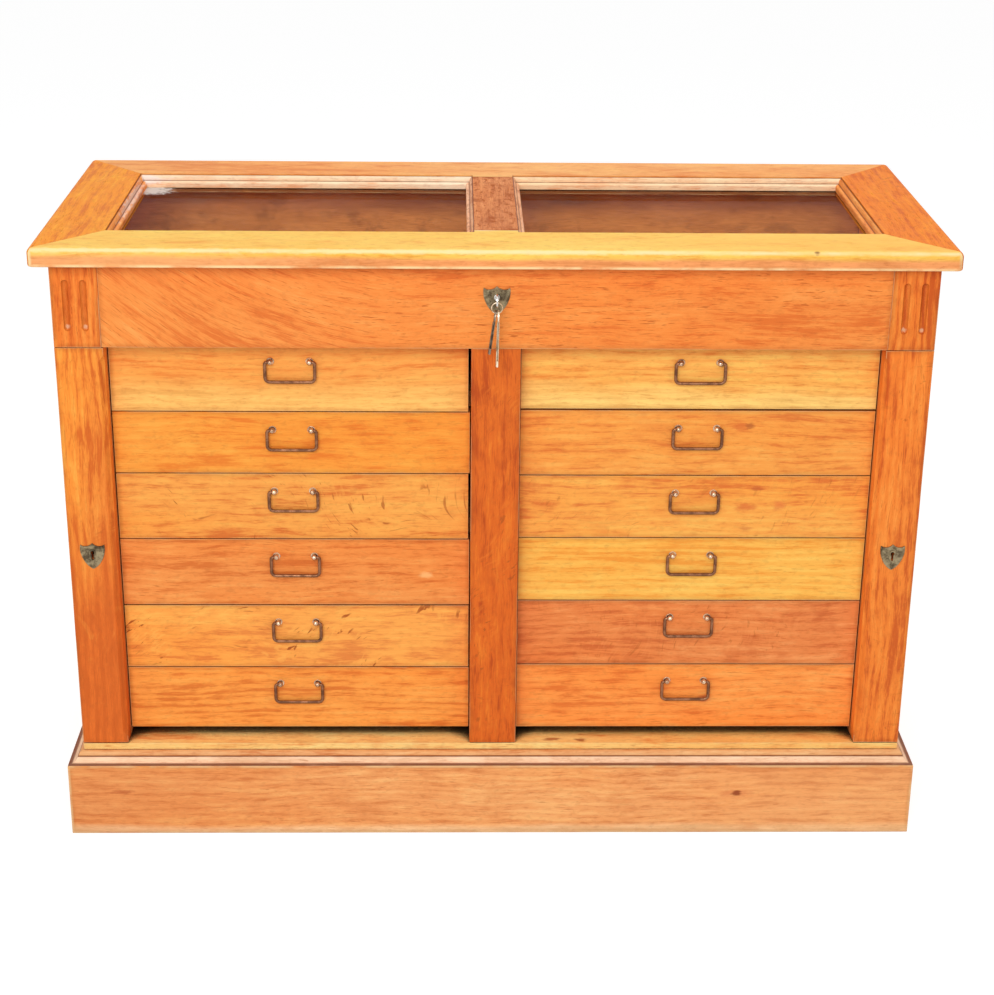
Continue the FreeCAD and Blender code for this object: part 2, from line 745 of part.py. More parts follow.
# ---------------------------------------------------------------- the hinged stiles
def chamfer_tool():
    """The wood removed by the stopped chamfer on the right stile's inner front arris."""
    depth = chamfer_width * math.sqrt(0.5)
    low = stile_bottom_z + chamfer_end_margin
    high = stile_top_z - chamfer_end_margin
    outline = [Vector(-chamfer_width, 0, low), Vector(0, 0, low),
               Vector(depth, 0, low + chamfer_stop_length), Vector(depth, 0, high - chamfer_stop_length),
               Vector(0, 0, high), Vector(-chamfer_width, 0, high)]
    tool = closed_face(outline).extrude(Vector(0, 2 * chamfer_width, 0))
    tool.translate(Vector(0, -chamfer_width, 0))
    tool.rotate(Vector(0, 0, 0), Vector(0, 0, 1), 45)
    tool.translate(Vector(opening_half_width, front_y, 0))
    return tool


def hinged_stile():
    stile = board(opening_half_width, half_width, front_y, stile_back_y, stile_bottom_z, stile_top_z)
    stile = stile.cut(chamfer_tool())
    stile = stile.cut(stile_seats)
    stile = stile.cut(stile_lock_pocket(stile_lock_clearance))
    return stile.cut(keyhole(stile_centre_x, stile_key_z, front_y - cutter_overrun, stile_back_y))


def stile_fittings():
    """The moving hinge leaves, the shield and the lock case of the right stile."""
    leaf = hinge_knuckles(stile_hinge_length, 1, -1, stile_hinge_gap, stile_leaf_width)
    leaves = [at_stile_hinge(leaf, z) for z in stile_hinge_bottoms]
    return leaves + shield(stile_centre_x, shield_stile_z, stile_key_z, front_y) + [stile_lock_case()]


def carcass_fittings():
    """Fixed hinge leaves and pins, the lid's lock case and shield, and the stiles' staples."""
    stile_leaf = hinge_knuckles(stile_hinge_length, 0, 1, stile_hinge_gap, stile_leaf_width)
    right_side = [keeper()]
    for z in stile_hinge_bottoms:
        right_side.append(at_stile_hinge(stile_leaf, z))
        right_side.append(at_stile_hinge(hinge_pin(stile_hinge_length), z))
    lid_leaf = hinge_knuckles(lid_hinge_length, 0, 1, lid_gap, lid_leaf_width)
    lid_side = []
    for x in lid_hinge_centres:
        lid_side.append(at_lid_hinge(lid_leaf, x))
        lid_side.append(at_lid_hinge(hinge_pin(lid_hinge_length), x))
    lock = [lid_lock_case()] + shield(0, shield_apron_z, lid_key_z, apron_y)
    return right_side + [mirrored(solid) for solid in right_side] + lid_side + lock


# ---------------------------------------------------------------- the lid
def lid_blank():
    """The whole lid board with rounded corners, nosing and lower edge."""
    blank = board(-lid_half_width, lid_half_width, lid_front_y, back_y, lid_bottom_z, lid_top_z)
    uprights = [edge for edge in blank.Edges if edge.BoundBox.ZLength > lid_thickness / 2]
    blank = blank.makeFillet(lid_corner_radius, uprights)
    upper = [edge for edge in blank.Edges if edge.BoundBox.ZMin > lid_top_z - edge_tolerance]
    blank = blank.makeFillet(lid_nosing_radius, upper)
    lower = [edge for edge in blank.Edges if edge.BoundBox.ZMax < lid_bottom_z + edge_tolerance]
    return blank.makeFillet(lid_lower_round, lower)


muntin_half = lid_muntin_width / 2
pane_outer_x = lid_half_width - lid_side_rail
pane_front_y = lid_front_y + lid_front_rail
pane_back_y = back_y - lid_back_rail


def lid_frame():
    """Four mitred rails and the muntin, each with a lip under the glass."""
    frame = lid_blank()
    for side in (-1, 1):
        x0, x1 = sorted((side * muntin_half, side * pane_outer_x))
        frame = frame.cut(board(x0, x1, pane_front_y, pane_back_y, glass_bottom_z,
                                lid_top_z + cutter_overrun))
        frame = frame.cut(board(x0 + glass_lip_width, x1 - glass_lip_width, pane_front_y + glass_lip_width,
                                pane_back_y - glass_lip_width, lid_bottom_z - cutter_overrun,
                                glass_bottom_z + cutter_overrun))
    frame = frame.cut(lid_seats)
    frame = frame.cut(link_plate_seat())
    outer, inner = lid_half_width, pane_outer_x
    low, high = pane_front_y, pane_back_y
    lip = glass_lip_width
    # The mitres run from the outer corners to the inner edge of the lips.
    front = [(-outer, lid_front_y), (outer, lid_front_y), (inner - lip, low + lip), (-inner + lip, low + lip)]
    back = [(-outer, back_y), (outer, back_y), (inner - lip, high - lip), (-inner + lip, high - lip)]
    end = [(outer, lid_front_y), (outer, back_y), (inner - lip, high - lip), (inner - lip, low + lip)]
    muntin_reach = muntin_half + lip
    muntin = [(-muntin_reach, low + lip), (muntin_reach, low + lip),
              (muntin_reach, high - lip), (-muntin_reach, high - lip)]
    rails = []
    for outline in (front, back, end, muntin):
        rails.append(frame.common(plan_prism(outline, lid_bottom_z, lid_top_z)))
    rails.append(mirrored(rails[2]))
    return [solid for rail in rails for solid in rail.Solids]


def lid_glass():
    ease = glass_edge_clearance
    pane = board(muntin_half + ease, pane_outer_x - ease, pane_front_y + ease, pane_back_y - ease,
                 glass_bottom_z, glass_top_z)
    return [pane, mirrored(pane)]


def bead_section():
    """A glazing bead's section as (inward, height) points: a stepped ovolo."""
    top_z = lid_top_z - bead_setdown
    low_z = glass_top_z
    lower_foot = (bead_width, low_z + bead_inner_height)
    lower_top = (bead_width - bead_lower_round_width, lower_foot[1] + bead_lower_round_height)
    upper_foot = (lower_top[0] - bead_slope_width, lower_top[1] + bead_slope_height)
    upper_top = (bead_top_flat, top_z)
    return [
        ((0, low_z), (bead_width, low_z)),
        ((bead_width, low_z), lower_foot),
        (lower_foot, quarter_middle((lower_top[0], lower_foot[1]), lower_foot, lower_top), lower_top),
        (lower_top, upper_foot),
        (upper_foot, quarter_middle((upper_top[0], upper_foot[1]), upper_foot, upper_top), upper_top),
        (upper_top, (0, top_z)),
        ((0, top_z), (0, low_z)),
    ]


def lid_beads():
    """Four mitred glazing beads round each pane."""
    x0, x1 = muntin_half, pane_outer_x
    y0, y1 = pane_front_y, pane_back_y
    wide = bead_width
    across, deep = Vector(x1 - x0, 0, 0), Vector(0, y1 - y0, 0)
    inner = [(x0 + wide, y0 + wide), (x1 - wide, y0 + wide), (x1 - wide, y1 - wide), (x0 + wide, y1 - wide)]
    outer = [(x0, y0), (x1, y0), (x1, y1), (x0, y1)]
    section = bead_section()
    strips = [
        section_strip(section, lambda into, z: Vector(x0, y0 + into, z), across),
        section_strip(section, lambda into, z: Vector(x1 - into, y0, z), deep),
        section_strip(section, lambda into, z: Vector(x0, y1 - into, z), across),
        section_strip(section, lambda into, z: Vector(x0 + into, y0, z), deep),
    ]
    beads = []
    for index, strip in enumerate(strips):
        following = (index + 1) % 4
        outline = [outer[index], outer[following], inner[following], inner[index]]
        beads.append(strip.common(plan_prism(outline, lid_bottom_z, lid_top_z)))
    return beads + [mirrored(bead) for bead in beads]


def lid_fittings():
    """The moving leaves of the lid's hinges, and the link plate of its lock."""
    leaf = hinge_knuckles(lid_hinge_length, 1, -1, lid_gap, lid_leaf_width)
    return [at_lid_hinge(leaf, x) for x in lid_hinge_centres] + [link_plate()]


# ---------------------------------------------------------------- the keys
def key_bow(outer_radius, hole_radius, thickness, centre):
    """A flat ring that stands edge-on to the front."""
    start = Vector(centre.x - thickness / 2, centre.y, centre.z)
    bow = rod(outer_radius, start, Vector(1, 0, 0), thickness)
    return bow.cut(rod(hole_radius, start, Vector(1, 0, 0), thickness))


bow_y = apron_y - bow_stand_out


def lid_key():
    """The key in the apron's lock, its bit hanging down inside the case."""
    bow = key_bow(bow_radius, bow_hole_radius, bow_thickness, Vector(0, bow_y, lid_key_z))
    shank_start_y = bow_y + (bow_radius + bow_hole_radius) / 2
    shank_end_y = lid_lock_middle_y + key_bit_width / 2
    shank = rod(key_shank_radius, Vector(0, shank_start_y, lid_key_z), Vector(0, 1, 0),
                shank_end_y - shank_start_y)
    collar_y = apron_y - shield_thickness - shield_rim_height - key_collar_gap - key_collar_length
    collar = rod(key_collar_radius, Vector(0, collar_y, lid_key_z), Vector(0, 1, 0), key_collar_length)
    half_bit = key_bit_thickness / 2
    bit = board(-half_bit, half_bit, shank_end_y - key_bit_width, shank_end_y,
                lid_key_z - key_bit_reach, lid_key_z)
    return united([bow, shank, collar, bit])


ring_top_z = lid_key_z - bow_hole_radius + ring_hang_clearance
ring_centre_z = ring_top_z - ring_radius


def spare_key(side, length, angle):
    """A key that hangs from the ring's lowest point, splayed to the left by angle."""
    hang_z = ring_centre_z - ring_radius
    bow_z = hang_z + ring_wire_radius + spare_hang_clearance - spare_bow_hole_radius
    x = side * spare_key_side_step
    bow = key_bow(spare_bow_radius, spare_bow_hole_radius, spare_bow_thickness, Vector(x, bow_y, bow_z))
    stem_top_z = bow_z - (spare_bow_radius + spare_bow_hole_radius) / 2
    tip_z = bow_z + spare_bow_radius - length
    stem = rod(spare_stem_radius, Vector(x, bow_y, tip_z), Vector(0, 0, 1), stem_top_z - tip_z)
    half = spare_bow_thickness / 2
    bit_low_z = tip_z + spare_bit_above_tip
    bit = board(x - half, x + half, bow_y - spare_stem_radius - spare_bit_length, bow_y,
                bit_low_z, bit_low_z + spare_bit_height)
    key = united([bow, stem, bit])
    key.rotate(Vector(x, bow_y, hang_z), Vector(0, 1, 0), angle)
    return key


def key_ring():
    """The ring through the lock key's bow, with the two spare keys on it."""
    ring = Part.makeTorus(ring_radius, ring_wire_radius, Vector(0, bow_y, ring_centre_z), Vector(0, 1, 0))
    keys = []
    for side, length, angle in zip((1, -1), spare_key_lengths, spare_key_angles):
        keys.append(spare_key(side, length, angle))
    return [ring] + keys


# ---------------------------------------------------------------- the drawers
drawer_centre_x = (drawer_inner_x + drawer_outer_x) / 2
bail_y = drawer_face_y - bail_stand_off
bail_leg_x = bail_width / 2 - bail_wire_radius
bail_end_x = bail_leg_x - bail_shoulder_radius
stud_x = bail_end_x - bail_end_clearance - stud_ball_radius


def drawer_studs(centre_x, pivot_z):
    """Two ball-headed studs with a rose outside and a round nut inside the drawer front."""
    studs = []
    for side in (-1, 1):
        x = centre_x + side * stud_x
        ball = Part.makeSphere(stud_ball_radius, Vector(x, bail_y, pivot_z))
        neck = rod(stud_neck_radius, Vector(x, bail_y, pivot_z), Vector(0, 1, 0), bail_stand_off)
        rose = rod(stud_rose_radius, Vector(x, drawer_face_y - stud_rose_thickness, pivot_z),
                   Vector(0, 1, 0), stud_rose_thickness)
        shank = rod(stud_shank_radius, Vector(x, drawer_face_y, pivot_z), Vector(0, 1, 0),
                    drawer_front_thickness)
        nut = rod(stud_nut_radius, Vector(x, drawer_inner_y, pivot_z), Vector(0, 1, 0), stud_nut_thickness)
        stud = united([ball, neck, rose, shank, nut])
        bore_end_x = stud_x + stud_ball_radius + cutter_overrun
        bore_depth = bore_end_x - (bail_end_x - bail_pin_reach - stud_bore_end_clearance)
        bore = rod(bail_pin_radius + bail_pin_clearance, Vector(centre_x + side * bore_end_x, bail_y, pivot_z),
                   Vector(-side, 0, 0), bore_depth)
        studs.append(stud.cut(bore))
    return studs


def drawer_front(side, bottom_z, top_z, pivot_z):
    """The front board, rebated behind its ends for the drawer sides, and its studs."""
    x0, x1 = sorted((side * drawer_inner_x, side * drawer_outer_x))
    front = board(x0, x1, drawer_face_y, drawer_inner_y, bottom_z, top_z)
    for box_side in drawer_sides(x0, x1, bottom_z, top_z):
        front = front.cut(box_side)
    for stud_side in (-1, 1):
        x = (x0 + x1) / 2 + stud_side * stud_x
        front = front.cut(rod(stud_shank_radius, Vector(x, drawer_face_y, pivot_z), Vector(0, 1, 0),
                              drawer_front_thickness))
    return [front] + drawer_studs((x0 + x1) / 2, pivot_z)


def drawer_sides(x0, x1, bottom_z, top_z):
    low_z = bottom_z + runner_thickness + runner_clearance
    high_z = top_z - drawer_side_drop
    start_y = drawer_inner_y - drawer_lap
    outer0, outer1 = x0 + drawer_side_inset, x1 - drawer_side_inset
    return [board(outer0, outer0 + drawer_side_thickness, start_y, drawer_box_back_y, low_z, high_z),
            board(outer1 - drawer_side_thickness, outer1, start_y, drawer_box_back_y, low_z, high_z)]


def drawer_box(side, bottom_z, top_z):
    """Two sides, the back and the bottom board of a drawer."""
    x0, x1 = sorted((side * drawer_inner_x, side * drawer_outer_x))
    sides = drawer_sides(x0, x1, bottom_z, top_z)
    inner0 = x0 + drawer_side_inset + drawer_side_thickness
    inner1 = x1 - drawer_side_inset - drawer_side_thickness
    floor_z = bottom_z + runner_thickness + runner_clearance + drawer_bottom_raise
    floor_top = floor_z + drawer_bottom_thickness
    bottom = board(inner0, inner1, drawer_inner_y, drawer_box_back_y, floor_z, floor_top)
    back = board(inner0, inner1, drawer_box_back_y - drawer_side_thickness, drawer_box_back_y,
                 floor_top, top_z - drawer_back_drop)
    return sides + [bottom, back]


def bail(centre_x, pivot_z):
    """A square-cornered drop handle, hanging from pins that turn in the studs."""
    low_z = pivot_z - bail_drop + bail_wire_radius
    leg_top_z, leg_low_z = pivot_z - bail_shoulder_radius, low_z + bail_corner_radius
    foot_x = bail_leg_x - bail_corner_radius

    def spot(along, z):
        return Vector(centre_x + along, bail_y, z)

    edges = []
    for side in (-1, 1):
        leg, end, foot = side * bail_leg_x, side * bail_end_x, side * foot_x
        shoulder = quarter_middle((end, leg_top_z), (end, pivot_z), (leg, leg_top_z))
        corner = quarter_middle((foot, leg_low_z), (leg, leg_low_z), (foot, low_z))
        edges.append([
            Part.Arc(spot(end, pivot_z), spot(*shoulder), spot(leg, leg_top_z)).toShape(),
            Part.LineSegment(spot(leg, leg_top_z), spot(leg, leg_low_z)).toShape(),
            Part.Arc(spot(leg, leg_low_z), spot(*corner), spot(foot, low_z)).toShape(),
        ])
    bar = Part.LineSegment(spot(-foot_x, low_z), spot(foot_x, low_z)).toShape()
    path = Part.Wire(edges[0] + [bar] + list(reversed(edges[1])))
    circle = Part.Circle(spot(-bail_end_x, pivot_z), Vector(1, 0, 0), bail_wire_radius)
    grip = path.makePipeShell([Part.Wire(circle.toShape())], True, False)
    pins = []
    for side in (-1, 1):
        start = spot(side * bail_end_x, pivot_z)
        pins.append(rod(bail_pin_radius, start, Vector(-side, 0, 0), bail_pin_reach))
    return united([grip] + pins)


# ---------------------------------------------------------------- the files
os.makedirs("parts", exist_ok=True)

save("carcass_sides", carcass_sides())
save("back_panel", back_panel())
save("floor_board", [floor_board()])
save("centre_divider", centre_divider())
save("drawer_runners", drawer_runners())
save("apron", [apron()])
save("corner_blocks", [corner_block(), mirrored(corner_block())])
save("display_floor", [display_floor()])
save("plinth_boards", plinth_boards())
save("plinth_moulding", plinth_moulding())
save("carcass_fittings", carcass_fittings())

save("lid_frame", lid_frame())
save("lid_glass", lid_glass())
save("lid_beads", lid_beads())
save("lid_fittings", lid_fittings())

save("right_stile", [hinged_stile()])
save("left_stile", [mirrored(hinged_stile())])
save("right_stile_fittings", stile_fittings())
save("left_stile_fittings", [mirrored(solid) for solid in stile_fittings()])
save("right_stile_bolt", [stile_bolt()])
save("left_stile_bolt", [mirrored(stile_bolt())])

save("lid_bolt", [lid_bolt()])
save("lid_key", [lid_key()])
save("key_ring", key_ring())

for column, (column_side, column_rows) in drawer_columns.items():
    for row, (row_bottom_z, row_top_z) in enumerate(column_rows, start=1):
        row_pivot_z = row_top_z - bail_below_front_top
        name = f"drawer_{column}_{row}"
        save(name + "_front", drawer_front(column_side, row_bottom_z, row_top_z, row_pivot_z))
        save(name + "_box", drawer_box(column_side, row_bottom_z, row_top_z))
        save(name + "_bail", [bail(column_side * drawer_centre_x, row_pivot_z)])
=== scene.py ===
import math
import random

import bmesh
import bpy
from mathutils import Matrix, Vector, noise


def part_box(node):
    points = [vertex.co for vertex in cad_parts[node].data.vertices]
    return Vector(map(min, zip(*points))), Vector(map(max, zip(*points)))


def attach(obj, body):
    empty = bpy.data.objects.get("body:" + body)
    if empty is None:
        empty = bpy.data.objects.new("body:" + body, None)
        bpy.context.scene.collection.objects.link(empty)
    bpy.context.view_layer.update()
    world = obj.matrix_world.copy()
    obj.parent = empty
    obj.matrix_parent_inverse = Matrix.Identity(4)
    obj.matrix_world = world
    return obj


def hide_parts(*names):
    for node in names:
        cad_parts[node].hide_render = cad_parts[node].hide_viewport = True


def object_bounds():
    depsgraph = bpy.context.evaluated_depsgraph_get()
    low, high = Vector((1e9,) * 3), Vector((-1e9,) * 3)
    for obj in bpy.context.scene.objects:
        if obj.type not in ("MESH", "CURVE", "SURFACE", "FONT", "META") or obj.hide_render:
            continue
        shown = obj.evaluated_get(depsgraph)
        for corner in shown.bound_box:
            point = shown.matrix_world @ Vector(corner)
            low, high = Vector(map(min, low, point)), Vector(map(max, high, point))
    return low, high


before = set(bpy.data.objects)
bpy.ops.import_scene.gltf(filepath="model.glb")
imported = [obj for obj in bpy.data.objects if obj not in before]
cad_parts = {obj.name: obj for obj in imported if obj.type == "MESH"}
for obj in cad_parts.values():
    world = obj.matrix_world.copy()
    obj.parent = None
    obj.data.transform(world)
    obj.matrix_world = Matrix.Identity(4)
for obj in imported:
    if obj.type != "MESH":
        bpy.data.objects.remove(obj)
cad_low, cad_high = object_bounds()


# ---- the plinth
# Three oak boards mitred at the front corners, a back board between the ends, and a bearer
# under the middle of the cabinet. The face boards are waxed, and paler along the floor.
def tint(red, green, blue):
    """A colour as the eye reads it, 0 to 255, in the shader's linear light."""
    parts = (red / 255, green / 255, blue / 255)
    return (*(c / 12.92 if c <= 0.04045 else ((c + 0.055) / 1.055) ** 2.4 for c in parts), 1.0)


def fill(node, inputs):
    """Links each input of a node to a socket, or sets it to a value."""
    for socket, value in inputs.items():
        if isinstance(value, bpy.types.NodeSocket):
            node.id_data.links.new(value, node.inputs[socket])
        else:
            node.inputs[socket].default_value = value


def node_putter(tree):
    """A function that puts a node in a tree and hands the node back."""
    def put(kind, inputs, **settings):
        node = tree.nodes.new("ShaderNode" + kind)
        for setting, value in settings.items():
            setattr(node, setting, value)
        fill(node, inputs)
        return node

    return put


def new_finish(name):
    """A material, and a function that puts a node in it."""
    material = bpy.data.materials.new(name)
    material.use_nodes = True
    return material, node_putter(material.node_tree)


def ease(put, value, start, end, low=0.0, high=1.0):
    """Runs smoothly from low to high while the value goes from start to end."""
    inputs = {"Value": value, "From Min": start, "From Max": end, "To Min": low, "To Max": high}
    return put("MapRange", inputs, interpolation_type="SMOOTHSTEP").outputs["Result"]


def sums(put, how, first, second):
    return put("Math", {0: first, 1: second}, operation=how).outputs[0]


def vectors(put, how, first, second):
    return put("VectorMath", {0: first, 1: second}, operation=how).outputs[0]


def overlay(put, amount, under, over, how="MIX"):
    """One colour laid over another."""
    inputs = {0: amount, 6: under, 7: over}
    return put("Mix", inputs, data_type="RGBA", blend_type=how).outputs[2]


def clouds(put, where, scale, detail, roughness=0.5, output="Fac"):
    """Soft random clouds, as one number from 0 to 1 or as a colour."""
    inputs = {"Vector": where, "Scale": scale, "Detail": detail, "Roughness": roughness}
    return put("TexNoise", inputs).outputs[output]


def away_from(put, place, centre, reach):
    """How far a place is from a centre, where 1 is the reach in each direction."""
    scaled = vectors(put, "DIVIDE", vectors(put, "SUBTRACT", place, centre), reach)
    return put("VectorMath", {0: scaled}, operation="LENGTH").outputs["Value"]


def waxed_oak(name, pale, ripe, deep, pores=0.5, rings=0.3, fleck=0.0, fleck_lean=0.6, mottle=0.35,
              stain=0.15, soil=0.45, rub=0.3, rub_reach=0.0016, lower=None, marks=(), quirks=(),
              crevice_shade=(0.007, 0.8, 0.2, 0.65, (134, 56, 20)), roughness=0.5, gloss=0.2):
    """Waxed oak: rings, fibres, open pores and ray fleck, with painted shade and dirt in its corners and
    rubbed at its edges.

    lower is (colour, from height, to height) above the board's bottom edge, each mark is (centre,
    reach, colour, strength) of a knot, stain, scuff, painted highlight or patch of painted shade, and
    quirks are the (height, half width) of grooves darkened by painted shade and dirt. crevice_shade is
    the painted shade and dirt in corners, gaps and under parts: (reach, share of open air where it
    starts, share where it is full, strength, colour)."""
    material, put = new_finish(name)
    pale, ripe, deep = tint(*pale), tint(*ripe), tint(*deep)
    grain = put("Attribute", {}, attribute_name="grain").outputs["Vector"]
    low = put("Attribute", {}, attribute_name="from_low").outputs["Vector"]
    high = put("Attribute", {}, attribute_name="from_high").outputs["Vector"]
    height = put("SeparateXYZ", {0: low}).outputs["Z"]
    place = put("TexCoord", {}).outputs["Object"]

    def add(first, second):
        return sums(put, "ADD", first, second)

    def times(first, second):
        return sums(put, "MULTIPLY", first, second)

    def stretched(source, along, across):
        return vectors(put, "MULTIPLY", source, (along, across, across))

    def wander(source, scale, detail, reach):
        """A soft random shift, as far as the reach each way."""
        colour = clouds(put, source, scale, detail, output="Color")
        return vectors(put, "MULTIPLY", vectors(put, "SUBTRACT", colour, (0.5, 0.5, 0.5)), reach)

    # The fibres wander a little across the board on their way along it.
    shift = wander(stretched(grain, 4.0, 10.0), 1.0, 2.0, (0.0, 0.03, 0.03))
    fibre = vectors(put, "ADD", grain, shift)

    def figure(along, across, detail=3.0, source=fibre):
        return clouds(put, stretched(source, along, across), 1.0, detail, 0.6)

    def about_half(value, amount):
        return times(sums(put, "SUBTRACT", value, 0.5), amount)

    def lay(amount, over):
        """The colour so far, with one more laid over it."""
        return overlay(put, amount, colour, over)

    # Broad rings, streaks, strands and short flecks of tone, from the widest to the finest.
    wave_inputs = {
        "Vector": stretched(fibre, 1.1, 24.0),
        "Scale": 1.0,
        "Distortion": 7.0,
        "Detail": 3.0,
        "Detail Scale": 0.8,
        "Detail Roughness": 0.6}
    wave = put("TexWave", wave_inputs, wave_type="BANDS", bands_direction="Y").outputs["Fac"]
    broad, streaks, strands = figure(2.4, 13.0), figure(7.0, 130.0, 5.0), figure(34.0, 560.0, 4.0)
    tone = add(about_half(wave, 0.34 * rings), about_half(broad, 0.85))
    tone = add(tone, add(about_half(streaks, 0.34), about_half(strands, 0.8)))
    tone = add(tone, about_half(figure(15.0, 48.0, 4.0), 0.95))
    colour = overlay(put, ease(put, tone, 0.0, 0.3), ripe, pale)
    colour = lay(ease(put, tone, 0.0, -0.3), deep)
    warmth = ease(put, figure(1.5, 6.0, 2.0, grain), 0.35, 0.65)
    warmed = overlay(put, warmth, (1.0, 0.93, 0.82, 1), (1.0, 1.06, 1.12, 1))
    colour = overlay(put, 1.0, colour, warmed, "MULTIPLY")
    if lower:
        shade, start, end = lower
        wandering = add(height, about_half(broad, 2 * (end - start)))
        streaked = overlay(put, ease(put, tone, -0.3, 0.3), (0.84, 0.78, 0.72, 1), (1.08, 1.12, 1.18, 1))
        shaded = overlay(put, 1.0, tint(*shade), streaked, "MULTIPLY")
        colour = lay(ease(put, wandering, end, start), shaded)

    # Blotches that cross the grain, and ray fleck on the boards that were sawn to show it.
    cloud = figure(16.0, 22.0, 4.0, grain)
    colour = lay(ease(put, cloud, 0.53, 0.72, 0.0, mottle), deep)
    handled = figure(75.0, 130.0, 4.0, grain)
    colour = lay(ease(put, handled, 0.52, 0.68, 0.0, stain), tint(166, 78, 28))
    if fleck:
        turned = put("VectorRotate", {"Vector": grain, "Angle": fleck_lean}, rotation_type="Z_AXIS")
        swirl = wander(grain, 6.0, 1.0, (0.22, 0.22, 0.0))
        bent = vectors(put, "ADD", vectors(put, "ADD", turned.outputs[0], shift), swirl)
        patch = ease(put, figure(9.0, 14.0, 2.0, grain), 0.46, 0.6)
        rays = figure(150.0, 38.0, 2.0, bent)
        ray = times(ease(put, rays, 0.62, 0.70), patch)
        colour = lay(times(ray, fleck), tint(166, 78, 22))
        sheen = times(ease(put, rays, 0.46, 0.36), patch)
        colour = lay(times(sheen, 0.5 * fleck), pale)

    # Open pores are short dark dashes, crowded into the early wood of each ring.
    coarse = ease(put, figure(36.0, 520.0, 2.0), 0.60, 0.68)
    fine = ease(put, figure(90.0, 1200.0, 2.0), 0.54, 0.72)
    open_pores = times(coarse, ease(put, broad, 0.35, 0.6, 0.45, 1.0))
    pore_brown = tint(178, 80, 24)
    colour = lay(times(open_pores, pores), pore_brown)
    colour = lay(times(fine, 0.25 * pores), pore_brown)
    for centre, reach, shade, strength in marks:
        ragged = add(away_from(put, place, centre, reach), about_half(figure(60.0, 160.0), 1.6))
        colour = lay(ease(put, ragged, 1.0, 0.25, 0.0, strength), tint(*shade))

    # The distance to the nearest arris is the middle one of the three distances to the faces.
    sides = put("SeparateXYZ", {0: vectors(put, "MINIMUM", low, high)}).outputs
    lesser = sums(put, "MINIMUM", sides["X"], sides["Y"])
    greater = sums(put, "MAXIMUM", sides["X"], sides["Y"])
    arris = sums(put, "MAXIMUM", lesser, sums(put, "MINIMUM", greater, sides["Z"]))
    dirt = times(ease(put, arris, 0.009, 0.0), ease(put, cloud, 0.3, 0.7, 0.35, 1.0))
    colour = lay(times(dirt, soil), tint(146, 66, 22))
    worn = times(ease(put, arris, rub_reach, 0.3 * rub_reach), ease(put, cloud, 0.35, 0.6))
    colour = lay(times(worn, rub), tint(252, 220, 162))
    # The quirks' dark lines are painted shade in the grooves, with dirt.
    for groove, half in quirks:
        past = sums(put, "ABSOLUTE", sums(put, "SUBTRACT", height, groove), 0.0)
        groove_shade_and_dirt = times(ease(put, past, half, 0.3 * half), ease(put, cloud, 0.25, 0.45, 0.55, 0.85))
        colour = lay(groove_shade_and_dirt, tint(112, 48, 22))
    # Painted shade: where ambient occlusion finds little open air, in corners, gaps and under parts, the
    # colour darkens, as shade and dirt.
    reach, starting, full, strength, shade = crevice_shade
    corner = put("AmbientOcclusion", {"Distance": reach}, samples=8).outputs["AO"]
    colour = lay(ease(put, corner, starting, full, 0.0, strength), tint(*shade))

    # Pores and dirt are duller than the wax, and the pores lie a little below it.
    dull = add(times(open_pores, 0.22), times(streaks, 0.16))
    dull = add(dull, add(times(dirt, 0.15), roughness - 0.08))
    relief = add(times(open_pores, -1.0), times(add(streaks, strands), 0.5))
    bump = put("Bump", {"Height": relief, "Strength": 0.35, "Distance": 0.0005}).outputs["Normal"]
    inputs = {"Base Color": colour, "Roughness": dull, "Normal": bump, "Specular IOR Level": gloss}
    fill(material.node_tree.nodes["Principled BSDF"], inputs)
    return material


# Corners nearer than this are one corner, and faces that turn by less than this are one face.
same_spot = 0.000002
flat_within = math.radians(0.5)


def solids_of(node, owner, inward=0.0002):
    """Takes a node's boards apart: a face belongs to the board that its inner side lies in."""
    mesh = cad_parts[node].data
    shapes = {}
    for face in mesh.polygons:
        key = owner(face.center - face.normal * inward)
        shape = shapes.setdefault(key, bmesh.new())
        shape.faces.new([shape.verts.new(mesh.vertices[corner].co) for corner in face.vertices])
    for shape in shapes.values():
        bmesh.ops.remove_doubles(shape, verts=shape.verts, dist=same_spot)
        bmesh.ops.dissolve_degenerate(shape, edges=shape.edges, dist=same_spot)
    return shapes


def whole(node):
    """All of a node's boards in one shape."""
    return solids_of(node, lambda spot: 0)[0]


def break_arrises(shape, width, seed=0.0):
    """Rounds a piece's sharp edges a little, and rubs them down unevenly as handling does."""
    sharp_angle = math.radians(40)
    touches_per_metre = 23.0
    sharp = []
    for edge in shape.edges:
        if len(edge.link_faces) == 2 and edge.calc_face_angle(0.0) > sharp_angle:
            sharp.append(edge)
    made = bmesh.ops.bevel(
        shape, geom=sharp, offset=width, segments=2, profile=0.5, affect="EDGES", clamp_overlap=True)
    shape.normal_update()
    rubbed = {vert for face in made["faces"] for vert in face.verts}
    for vert in rubbed:
        handling = noise.noise(vert.co * touches_per_metre + Vector((seed, seed, seed)))
        vert.co -= vert.normal * max(0.0, handling) * width * 0.5


def cross_cuts(shape, axis, spacing):
    """Divides a board along its length, so that its wear and its grain can change along it."""
    ends = [vert.co[axis] for vert in shape.verts]
    count = int((max(ends) - min(ends)) / spacing)
    normal = Vector((0, 0, 0))
    normal[axis] = 1.0
    for step in range(1, count):
        spot = Vector((0, 0, 0))
        spot[axis] = min(ends) + step * (max(ends) - min(ends)) / count
        parts = [*shape.verts, *shape.edges, *shape.faces]
        bmesh.ops.bisect_plane(shape, geom=parts, dist=same_spot, plane_co=spot, plane_no=normal)


def made_mesh(name, shape, smooth_below=40):
    """The mesh of a finished shape, smooth wherever its faces turn by less than an angle."""
    mesh = bpy.data.meshes.new(name)
    shape.to_mesh(mesh)
    shape.free()
    mesh.set_sharp_from_angle(angle=math.radians(smooth_below))
    for face in mesh.polygons:
        face.use_smooth = True
    return mesh


